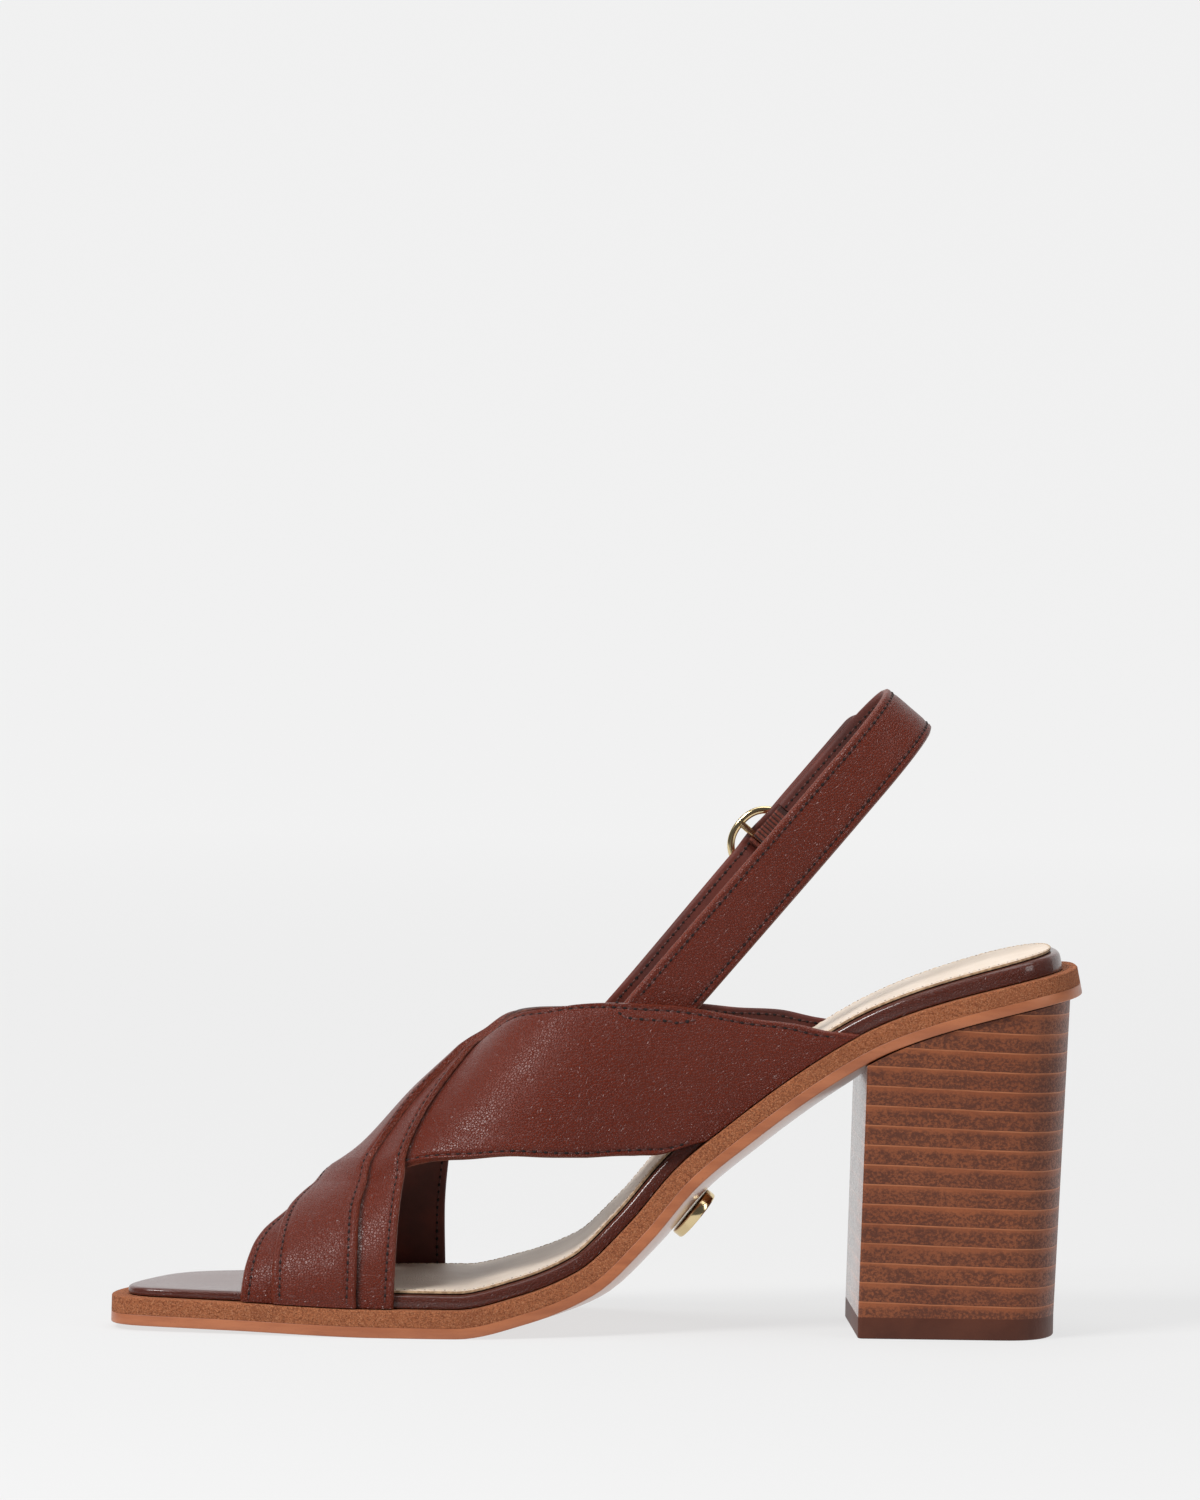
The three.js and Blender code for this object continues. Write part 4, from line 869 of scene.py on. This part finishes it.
# %% Sling
SLING_MIDDLE, SLING_THICK = .026 * BALL_WIDTH, 2.0
half_gap = curve_through([-.076, 0, .16, .38, .6, .74], [q * BALL_WIDTH for q in (.25, .231, .241, .261, .271, .264)])
bend_start = .74 * SLING_REACH
bend_half = float(half_gap(.74))
route = [(u, SLING_MIDDLE - float(half_gap(u / SLING_REACH))) for u in np.linspace(-SLING_TUCK, bend_start, 13)]
for a in np.linspace(0, math.pi, 24)[1:-1]:
    route.append((bend_start + (SLING_REACH - SLING_THICK / 2 - bend_start) * math.sin(a) ** .84,
                  SLING_MIDDLE - bend_half * math.copysign(abs(math.cos(a)) ** .84, math.cos(a))))
route += [(u, SLING_MIDDLE + float(half_gap(u / SLING_REACH))) for u in np.linspace(bend_start, SLING_END, 5)]
sling = flat_strap("sling_dressed", route, SLING_THICK, 14.8, 0, -1, STRAP, ("sling_strap",), columns=20)

sling_face = route[-1][1] + SLING_THICK / 2
tail_level = sling_face + CLEARANCE + .8
ring_level = tail_level + .8 + CLEARANCE
bar_level = ring_level + .1
crest_level = bar_level + 2.1 + CLEARANCE + .8
under_ring = tail_level - .3
RING_PLACE, RING_LENGTH, RING_WIDTH, RING_WALL, RING_SHIFT = 43.8, 19, 21.2, 1.9, 1.5
print("sling's outer face at", round(sling_face, 2), "mm from the middle")

# %% Buckle strap
rise = RING_LENGTH / 2 - RING_WALL - 2.4
start = SLING_MIDDLE + 18.8
route = [(-SLING_TUCK, start + 1.5), (0, start)]
route += [(k * RING_PLACE, start + (under_ring - start) * q) for k, q in ((.2, .22), (.4, .52), (.6, .83))]
route += [(RING_PLACE - rise - 4.4, under_ring), (RING_PLACE - rise - 1.2, under_ring + .05), (RING_PLACE - rise, under_ring + .5),
          (RING_PLACE - .36 * rise, crest_level - .7), (RING_PLACE - .18 * rise, crest_level - .15), (RING_PLACE, crest_level),
          (RING_PLACE + .18 * rise, crest_level - .15), (RING_PLACE + .36 * rise, crest_level - .7),
          (RING_PLACE + rise, under_ring + .5), (RING_PLACE + rise + 1.2, under_ring + .05), (SLING_END - 1.4, under_ring),
          (SLING_END + 1.2, tail_level), (66.2, tail_level), (78.7, tail_level - .05), (85, tail_level - .1)]
buckle_strap = flat_strap("buckle_strap_dressed", route, 1.6, 12.4, 1.8, 1, STRAP,
                          ("buckle_strap",), tip=5.5)

# %% [markdown]
# The buckle is cast metal: an oval ring with a bar across it. The ring is a round wire whose
# centre line is a superellipse. The prong turns on the bar and rests on the ring.

# %% Buckle
def tube(name, centre, radius, finish, replaces=(), closed=False, steps=14, flatten=None, local=True):
    centre = np.array(centre, float)
    ahead = np.roll(centre, -1, 0) if closed else np.concatenate([centre[1:], centre[-1:]])
    behind = np.roll(centre, 1, 0) if closed else np.concatenate([centre[:1], centre[:-1]])
    along = ahead - behind
    along /= np.linalg.norm(along, axis=1, keepdims=True)
    hint = np.array([0, 0, 1.0]) if abs(along[:, 2]).max() < .9 else np.array([0, 1.0, 0])
    first = np.cross(along, hint)
    first /= np.linalg.norm(first, axis=1, keepdims=True)
    second = np.cross(along, first)
    radius = np.broadcast_to(radius, len(centre))
    q = np.linspace(0, 2 * math.pi, steps, endpoint=False)
    wide, deep = flatten or (1, 1)
    points = (centre[:, None] + radius[:, None, None] * (wide * np.cos(q)[None, :, None] * first[:, None]
              + deep * np.sin(q)[None, :, None] * second[:, None])).reshape(-1, 3)
    n = len(centre)
    faces = []
    for i in range(n if closed else n - 1):
        for j in range(steps):
            k = (j + 1) % steps
            i2 = (i + 1) % n
            faces.append((i * steps + j, i * steps + k, i2 * steps + k, i2 * steps + j))
    if not closed:
        faces.append(tuple(range(steps)))
        faces.append(tuple(range((n - 1) * steps, n * steps))[::-1])
    return piece(name, in_sling(points) if local else points, faces, finish, replaces, sharp=60)


q = np.linspace(0, 2 * math.pi, 96, endpoint=False)
power = 2 / 2.3
ring_line = np.stack([RING_PLACE + (RING_LENGTH - RING_WALL) / 2 * np.sign(np.cos(q)) * np.abs(np.cos(q)) ** power,
                      np.full(len(q), ring_level + .8),
                      RING_SHIFT + (RING_WIDTH - RING_WALL) / 2 * np.sign(np.sin(q)) * np.abs(np.sin(q)) ** power], -1)
steps = np.linalg.norm(np.roll(ring_line, -1, 0) - ring_line, axis=1)
run = np.concatenate([[0], np.cumsum(steps)])
loop = np.concatenate([ring_line, ring_line[:1]])
even = np.linspace(0, run[-1], 96, endpoint=False)
ring_line = np.stack([np.interp(even, run, loop[:, k]) for k in range(3)], -1)


def metal_ring(name, centre, half_wide, half_deep, power=2.6, steps=16):
    ahead = np.roll(centre, -1, 0) - np.roll(centre, 1, 0)
    ahead /= np.linalg.norm(ahead, axis=1, keepdims=True)
    out = np.array([0, 1.0, 0])
    radial = np.cross(ahead, out)
    q = np.linspace(0, 2 * math.pi, steps, endpoint=False)
    c = np.sign(np.cos(q)) * np.abs(np.cos(q)) ** (2 / power)
    s = np.sign(np.sin(q)) * np.abs(np.sin(q)) ** (2 / power)
    points = centre[:, None] + half_wide * c[None, :, None] * radial[:, None] + half_deep * s[None, :, None] * out
    n = len(centre)
    faces = [(i * steps + j, i * steps + (j + 1) % steps, ((i + 1) % n) * steps + (j + 1) % steps, ((i + 1) % n) * steps + j)
             for i in range(n) for j in range(steps)]
    return piece(name, in_sling(points.reshape(-1, 3)), faces, "pale_gold", ("buckle_frame",), sharp=60)


metal_ring("buckle_ring", ring_line, RING_WALL / 2, .8)
reach = RING_WIDTH / 2 - RING_WALL * .6
tube("buckle_bar", [(RING_PLACE, bar_level, RING_SHIFT + k) for k in np.linspace(-reach, reach, 9)], .85, "pale_gold",
     (), steps=16)
rest = ring_level + 1.6 + CLEARANCE
tip_at = RING_PLACE - RING_LENGTH / 2
prong = [(RING_PLACE + 1.6 * math.sin(a), bar_level + 1.6 * math.cos(a)) for a in np.linspace(.3, 5.9, 20)]
prong += [(RING_PLACE - 1.5, bar_level + 2.1), (RING_PLACE - 3.2, rest + .9), (tip_at + 3.6, rest + .62), (tip_at + 1.6, rest + .5), (tip_at + .4, rest + .42)]
path, run = smooth_path(prong, .35)
radius = np.interp(run, [0, run[-1] - 4, run[-1] - .5, run[-1]], [.5, .6, .48, .3])
tube("buckle_prong_dressed", np.stack([path[:, 0], path[:, 1], np.full(len(path), RING_SHIFT)], -1), radius, "pale_gold",
     ("buckle_prong",), flatten=(1.25, 1), steps=12)

# %% [markdown]
# The elastic is ribbed webbing. It is sewn to the sling's end and loops round the bar, which
# takes the strain at each step. The ribs run across it, so its section is a wavy line.

# %% Elastic
sewn = SLING_END - CLEARANCE
sewn_level = sling_face - SLING_THICK / 2
centre = [(sewn, sewn_level), (sewn - 2.6, sewn_level), (RING_PLACE + 5, sewn_level + .6), (RING_PLACE + 2.6, bar_level - 1.9)]
centre += [(RING_PLACE + 1.65 * math.sin(a), bar_level - 1.65 * math.cos(a)) for a in np.linspace(0, 1.75 * math.pi, 16)]
path, run = smooth_path(centre, .16)
along = np.gradient(path, axis=0)
along /= np.linalg.norm(along, axis=1, keepdims=True)
side = np.stack([-along[:, 1], along[:, 0]], -1)
RIB_PITCH = 1.06
rib = .3 + .2 * np.abs(np.sin(run * math.pi / RIB_PITCH))
thick_here = np.where(run < 2.6, .75, rib)
across = np.concatenate([np.linspace(-5.3, -5.0, 3), np.linspace(-4.4, 4.4, 9), np.linspace(5.0, 5.3, 3)]) + RING_SHIFT
soft = np.clip((5.3 - np.abs(across - RING_SHIFT)) / .3, .35, 1)
rows = []
for sign in (1, -1):
    offset = sign * thick_here[:, None] * soft[None, :]
    rows.append(np.stack([path[:, 0][:, None] + side[:, 0][:, None] * offset, path[:, 1][:, None] + side[:, 1][:, None] * offset,
                          np.broadcast_to(across, (len(run), len(across)))], -1))
n, m = len(run), len(across)
grid = np.arange(n * m).reshape(n, m)
faces = []
for i in range(n - 1):
    for j in range(m - 1):
        a, b, c, d = grid[i, j], grid[i, j + 1], grid[i + 1, j + 1], grid[i + 1, j]
        faces += [(a, b, c, d), (a + n * m, d + n * m, c + n * m, b + n * m)]
    for j in (0, m - 1):
        faces.append((grid[i, j], grid[i + 1, j], grid[i + 1, j] + n * m, grid[i, j] + n * m))
for i in (0, n - 1):
    for j in range(m - 1):
        faces.append((grid[i, j], grid[i, j + 1], grid[i, j + 1] + n * m, grid[i, j] + n * m))
ribs = np.repeat(np.where(run < 1.2, .4, np.abs(np.sin(run * math.pi / RIB_PITCH)) ** .8), m)
piece("elastic_dressed", in_sling(np.concatenate([r.reshape(-1, 3) for r in rows])), faces, "dark_elastic",
      ("elastic_gore",), attributes={"rib": np.concatenate([ribs, ribs])}, sharp=40)

# %% [markdown]
# Under the waist sits a small plain disc of the same gold, with a raised rim. It is turned
# from a profile, and lies square to the sole.

# %% Badge
badge_s = 136.6 - L / 2
badge_base = sole_point(badge_s, 0, -float(bulge(badge_s)) - CLEARANCE - .15)
down = -(sole_point(badge_s, 0, 1.0) - sole_point(badge_s, 0, 0.0))
ahead = np.array([-down[2], 0, down[0]])
outline = [(0, 0), (6.2, 0), (6.6, .15), (6.7, .45), (6.7, 2.0), (6.62, 2.3), (6.4, 2.52), (6.05, 2.6), (4.9, 2.6), (4.62, 2.5),
           (4.5, 2.3), (4.4, 2.22), (0, 2.2)]
q = np.linspace(0, 2 * math.pi, 72, endpoint=False)
points, faces = [], []
for r, h in outline[1:-1]:
    points += [badge_base + down * h + r * (math.cos(a) * ahead + math.sin(a) * np.array([0, 1.0, 0])) for a in q]
for i in range(len(outline) - 3):
    faces += [(i * 72 + j, i * 72 + (j + 1) % 72, (i + 1) * 72 + (j + 1) % 72, (i + 1) * 72 + j) for j in range(72)]
faces += [tuple(range(72)), tuple(range((len(outline) - 3) * 72, (len(outline) - 2) * 72))]
piece("badge_dressed", np.array(points), faces, "pale_gold", ("sole_badge",), sharp=30)

# %% [markdown]
# Stitches repeat hundreds of times along curves, which is what Geometry Nodes do well. The
# tree takes a line that lies on the leather, cuts it into even steps, and sets one small
# thread bead on each step, turned along the line.

# %% Stitch tree
def stitch_tree():
    tree = bpy.data.node_groups.new("stitch row", "GeometryNodeTree")
    tree.interface.new_socket("Geometry", in_out="INPUT", socket_type="NodeSocketGeometry")
    sizes = {}
    for name, value in (("Stitch pitch", .002), ("Thread length", .00125), ("Thread width", .0006),
                        ("Hole length", .001), ("Hole width", .0008)):
        socket = tree.interface.new_socket(name, in_out="INPUT", socket_type="NodeSocketFloat")
        socket.default_value = value
        sizes[name] = socket.identifier
    for name, value in (("Seed", 7), ("Thread", None), ("Hole", None)):
        kind = "NodeSocketInt" if name == "Seed" else "NodeSocketMaterial"
        socket = tree.interface.new_socket(name, in_out="INPUT", socket_type=kind)
        if value is not None:
            socket.default_value = value
        sizes[name] = socket.identifier
    tree.interface.new_socket("Geometry", in_out="OUTPUT", socket_type="NodeSocketGeometry")
    add = tree.nodes.new
    link = tree.links.new
    given, made = add("NodeGroupInput"), add("NodeGroupOutput")
    curve = add("GeometryNodeMeshToCurve")
    link(given.outputs["Geometry"], curve.inputs["Mesh"])
    even = add("GeometryNodeResampleCurve")
    even.mode = "LENGTH"
    link(curve.outputs[0], even.inputs["Curve"])
    link(given.outputs["Stitch pitch"], even.inputs["Length"])
    half = add("ShaderNodeMath")
    half.operation = "MULTIPLY"
    half.inputs[1].default_value = .5
    link(given.outputs["Stitch pitch"], half.inputs[0])
    both = add("GeometryNodeJoinGeometry")
    # Each step gets a thread bead and a dark hole bead, which is painted shade inside the hole.
    for what, segments in (("Thread", 8), ("Hole", 6)):
        bead = add("GeometryNodeMeshUVSphere")
        bead.inputs["Segments"].default_value = segments
        bead.inputs["Rings"].default_value = 5 if what == "Thread" else 4
        bead.inputs["Radius"].default_value = .5
        size = add("ShaderNodeCombineXYZ")
        link(given.outputs[what + " length"], size.inputs["Z"])
        link(given.outputs[what + " width"], size.inputs["X"])
        link(given.outputs[what + " width"], size.inputs["Y"])
        shape = add("GeometryNodeTransform")
        link(bead.outputs["Mesh"], shape.inputs["Geometry"])
        link(size.outputs[0], shape.inputs["Scale"])
        if what == "Hole":
            shift = add("ShaderNodeCombineXYZ")
            link(half.outputs[0], shift.inputs["Z"])
            link(shift.outputs[0], shape.inputs["Translation"])
        paint = add("GeometryNodeSetMaterial")
        link(shape.outputs[0], paint.inputs["Geometry"])
        link(given.outputs[what], paint.inputs["Material"])
        link(paint.outputs[0], both.inputs[0])
    tangent = add("GeometryNodeInputTangent")
    turn = add("FunctionNodeAlignRotationToVector")
    turn.axis = "Z"
    link(tangent.outputs[0], turn.inputs["Vector"])
    vary = add("FunctionNodeRandomValue")
    vary.data_type = "FLOAT"
    vary.inputs[2].default_value = .9
    vary.inputs[3].default_value = 1.08
    link(given.outputs["Seed"], vary.inputs["Seed"])
    each = add("GeometryNodeInstanceOnPoints")
    link(even.outputs[0], each.inputs["Points"])
    link(both.outputs[0], each.inputs["Instance"])
    link(turn.outputs[0], each.inputs["Rotation"])
    link(vary.outputs[1], each.inputs["Scale"])
    real = add("GeometryNodeRealizeInstances")
    link(each.outputs[0], real.inputs[0])
    smooth = add("GeometryNodeSetShadeSmooth")
    link(real.outputs[0], smooth.inputs[0])
    link(smooth.outputs[0], made.inputs[0])
    return tree, sizes


STITCHES, stitch_sizes = stitch_tree()


def stitch(name, lines, slot="strap_leather", thread="thread", hole="stitch_hole_shade", **sizes):
    points, joints = [], []
    for line in lines:
        start_at = len(points)
        points += [tuple(p) for p in np.asarray(line) / 1000]
        joints += [(i, i + 1) for i in range(start_at, len(points) - 1)]
    mesh = bpy.data.meshes.new(name + "_line")
    mesh.from_pydata(points, joints, [])
    row = bpy.data.objects.new(name + "_line", mesh)
    bpy.context.scene.collection.objects.link(row)
    modifier = row.modifiers.new("stitches", "NODES")
    modifier.node_group = STITCHES
    for key, value in {"Thread": finishes[thread], "Hole": finishes[hole], **sizes}.items():
        modifier[stitch_sizes[key.replace("_", " ")]] = value
    bpy.context.view_layer.update()
    evaluated = row.evaluated_get(bpy.context.evaluated_depsgraph_get())
    plain = bpy.data.meshes.new_from_object(evaluated)
    bpy.data.objects.remove(row)
    given = list(plain.materials)
    kept = [m for m in given if m]
    kinds = np.empty(len(plain.polygons), np.int32)
    plain.polygons.foreach_get("material_index", kinds)
    plain.materials.clear()
    for m in kept:
        plain.materials.append(m)
    plain.polygons.foreach_set("material_index", np.array([kept.index(m) if m else 0 for m in given])[kinds])
    made = bpy.data.objects.new(name, plain)
    bpy.context.scene.collection.objects.link(made)
    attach(made, "root")
    print(name, len(lines), "rows", len(plain.polygons), "faces", np.bincount(kinds))
    return made


# %% [markdown]
# Where a row runs is measured on the strap's own outer face: a fixed distance in from an
# edge, found between the grid's columns, and sunk a little into the leather.

# %% Rows on the lasted straps
def row_on(strap, distance, from_rear, low=0.0, high=1.0, sink=.12, inside=False):
    made, face, normal, run, around, lining = strap
    line = []
    for i, v in enumerate(around):
        if not low <= v <= high:
            continue
        d = distance(v) if callable(distance) else distance
        at = run[i, -1] - d if from_rear else d
        laid = lining[i] + normal[i] * sink if inside else face[i] - normal[i] * sink
        line.append([np.interp(at, run[i], laid[:, k]) for k in range(3)])
    return line


ROW = 2.1


def holding_seam(v):
    """Second row of the sling's foot: it leaves the edge row, runs below it and returns."""
    return ROW + 3.6 * float(fade(.152, .158, v)) * (1 - float(fade(.236, .262, v)))


stitch("under_strap_stitches", [row_on(under_strap, ROW, False, .012, .988), row_on(under_strap, ROW, True, .012, .988),
                                row_on(under_strap, holding_seam, True, .152, .262)],
       Stitch_pitch=.0026, Thread_length=.0015, Thread_width=.00065, Hole_length=.0012, Hole_width=.00085)
stitch("over_strap_stitches", [row_on(panel, ROW, False, .012, .988), row_on(panel, ROW, True, .012, .988)])
stitch("over_underlay_stitches", [row_on(base_columns, ROW, False, .012, .42), row_on(base_columns, ROW, True, .012, .44)])
stitch("lining_stitches", [row_on(under_strap, ROW, True, .56, .985, inside=True), row_on(under_strap, ROW, False, .56, .985, inside=True),
                           row_on(base_columns, ROW, True, .6, .985, inside=True), row_on(base_columns, ROW, False, .6, .985, inside=True)])


# %% Rows on the sling and the buckle strap
def row_on_flat(strap, distance, low_side, first=0, last=None, sink=.12, inside=False):
    made, faces_of, normal, path, edge_distance = strap
    face = faces_of[1] + normal[:, None] * sink if inside else faces_of[0] - normal[:, None] * sink
    n, m = edge_distance.shape
    columns = list(range(m // 2 + 1) if low_side else range(m - 1, m // 2 - 1, -1))
    line = []
    for i in range(first, n + last if last else n):
        d = edge_distance[i, columns]
        if d.max() < distance:
            continue
        line.append([np.interp(distance, d, face[i, columns, k]) for k in range(3)])
    return line


sides = (True, False)
stitch("sling_stitches", [row_on_flat(sling, 1.9, side, 9, -2, inside=inside) for side in sides for inside in sides])
stitch("buckle_strap_stitches", [row_on_flat(buckle_strap, 1.8, side, 4, -4, inside=inside) for side in sides for inside in sides])


# %% [markdown]
# The sock is sewn to the insole by a pale row along its edge.

# %% Row on the sock
sock_thread = Shader("sock_thread")
sock_thread.finish(rgb(212, 190, 164), .6)
# Darker beads in the sock's stitch holes: painted shade.
sock_hole_shade = Shader("sock_hole_shade")
sock_hole_shade.finish(rgb(150, 128, 108), .8)
s, w = plan_stations(*sock_plan, 0)
level = SEAT_LEVEL + padding(s) + CLEARANCE + SOCK - .05
near = sole_point(s, -(inner_half(s) - LEDGE - SOCK_MARGIN - 1.5) * w, level)
far = sole_point(s, (outer_half(s) - LEDGE - SOCK_MARGIN - 1.5) * w, level)
stitch("sock_stitches", [np.concatenate([near[4:], far[4:-1][::-1]])], "sock_leather", "sock_thread", "sock_hole_shade",
       Stitch_pitch=.0024, Thread_length=.0016, Thread_width=.0005, Hole_length=.0006, Hole_width=.0005)

# %% [markdown]
# The studio: a sheet of pale paper under and behind the shoe, lit so evenly that it reads as
# one tone; it glows a little and takes only a faint shadow. A soft light above and to the
# left draws the long highlight on the straps. The room in front stays dim, which keeps the
# leather's brown deep.

# %% Floor and world
depth, height_of_sweep, bend = 3.2, 3.0, 1.0
sweep = [(-2.6, 0.0)] + [(depth - bend + bend * math.sin(a), bend - bend * math.cos(a)) for a in np.linspace(0, math.pi / 2, 24)]
sweep += [(depth, height_of_sweep)]
points = [(x, y, z) for y, z in sweep for x in (-5, 5)]
mesh = bpy.data.meshes.new("sweep")
mesh.from_pydata(points, [], [(2 * i, 2 * i + 1, 2 * i + 3, 2 * i + 2) for i in range(len(sweep) - 1)])
mesh.polygons.foreach_set("use_smooth", [True] * len(mesh.polygons))
floor = bpy.data.objects.new("sweep", mesh)
bpy.context.scene.collection.objects.link(floor)
paper = bpy.data.materials.new("pale_paper")
paper.use_nodes = True
nodes, links = paper.node_tree.nodes, paper.node_tree.links
sheet = nodes["Principled BSDF"]
for key, value in (("Base Color", (.14, .14, .14, 1)), ("Roughness", 1), ("Specular IOR Level", 0),
                   ("Emission Color", (1, 1, 1, 1))):
    sheet.inputs[key].default_value = value
from_shoe = nodes.new("ShaderNodeVectorMath")
from_shoe.operation = "LENGTH"
links.new(nodes.new("ShaderNodeTexCoord").outputs["Object"], from_shoe.inputs[0])
glow = nodes.new("ShaderNodeMapRange")
for key, value in (("From Min", .2), ("From Max", 2.2), ("To Min", .69), ("To Max", .81)):
    glow.inputs[key].default_value = value
links.new(from_shoe.outputs["Value"], glow.inputs["Value"])
where = nodes.new("ShaderNodeSeparateXYZ")
links.new(from_shoe.inputs[0].links[0].from_socket, where.inputs[0])
lit = nodes.new("ShaderNodeMapRange")
for key, value in (("From Min", -.62), ("From Max", -.46), ("To Min", .25), ("To Max", 1)):
    lit.inputs[key].default_value = value
links.new(where.outputs["Y"], lit.inputs["Value"])
both = nodes.new("ShaderNodeMath")
both.operation = "MULTIPLY"
links.new(glow.outputs[0], both.inputs[0])
links.new(lit.outputs[0], both.inputs[1])
links.new(both.outputs[0], sheet.inputs["Emission Strength"])
mesh.materials.append(paper)

world = bpy.data.worlds.new("studio")
bpy.context.scene.world = world
world.use_nodes = True
world.node_tree.nodes["Background"].inputs[0].default_value = (1, 1, 1, 1)
world.node_tree.nodes["Background"].inputs[1].default_value = .1


# %% Lights
def softbox(name, place, target, size, power, tint=(1, 1, 1)):
    data = bpy.data.lights.new(name, "AREA")
    data.shape = "RECTANGLE"
    data.size, data.size_y = size
    data.energy = power
    data.color = tint
    made = bpy.data.objects.new(name, data)
    made.location = place
    made.rotation_euler = (Vector(target) - Vector(place)).to_track_quat("-Z", "Y").to_euler()
    bpy.context.scene.collection.objects.link(made)
    return made


softbox("key", (-.95, -.95, 1.25), (0, 0, .05), (.6, .5), 30)
softbox("top", (.1, .1, 1.7), (0, 0, 0), (1.6, 1.2), 16)
softbox("right", (1.4, -.9, .8), (0, 0, .08), (.5, .8), 5)

# %% [markdown]
# The photograph was taken from about 2.3 m with a long lens, a little above the shoe and
# turned two degrees towards the toe. A small roll levels the horizon as in the picture.

# %% Camera
camera = bpy.data.cameras.new("camera")
camera.sensor_width = 36
camera.lens = 9401.6 / 1500 * 36
camera.clip_end = 50
view = bpy.data.objects.new("camera", camera)
bpy.context.scene.collection.objects.link(view)
away = math.radians(2.1)
eye = Vector((-.0017 - 2.29 * math.sin(away), -2.29 * math.cos(away), .243))
aim = Vector((-.0017, 0, .1405))
look = (aim - eye).to_track_quat("-Z", "Y").to_matrix().to_4x4()
view.matrix_world = Matrix.Translation(eye) @ look @ Matrix.Rotation(math.radians(1.05), 4, "Z")
bpy.context.scene.camera = view
bpy.context.scene.view_settings.view_transform = "Standard"
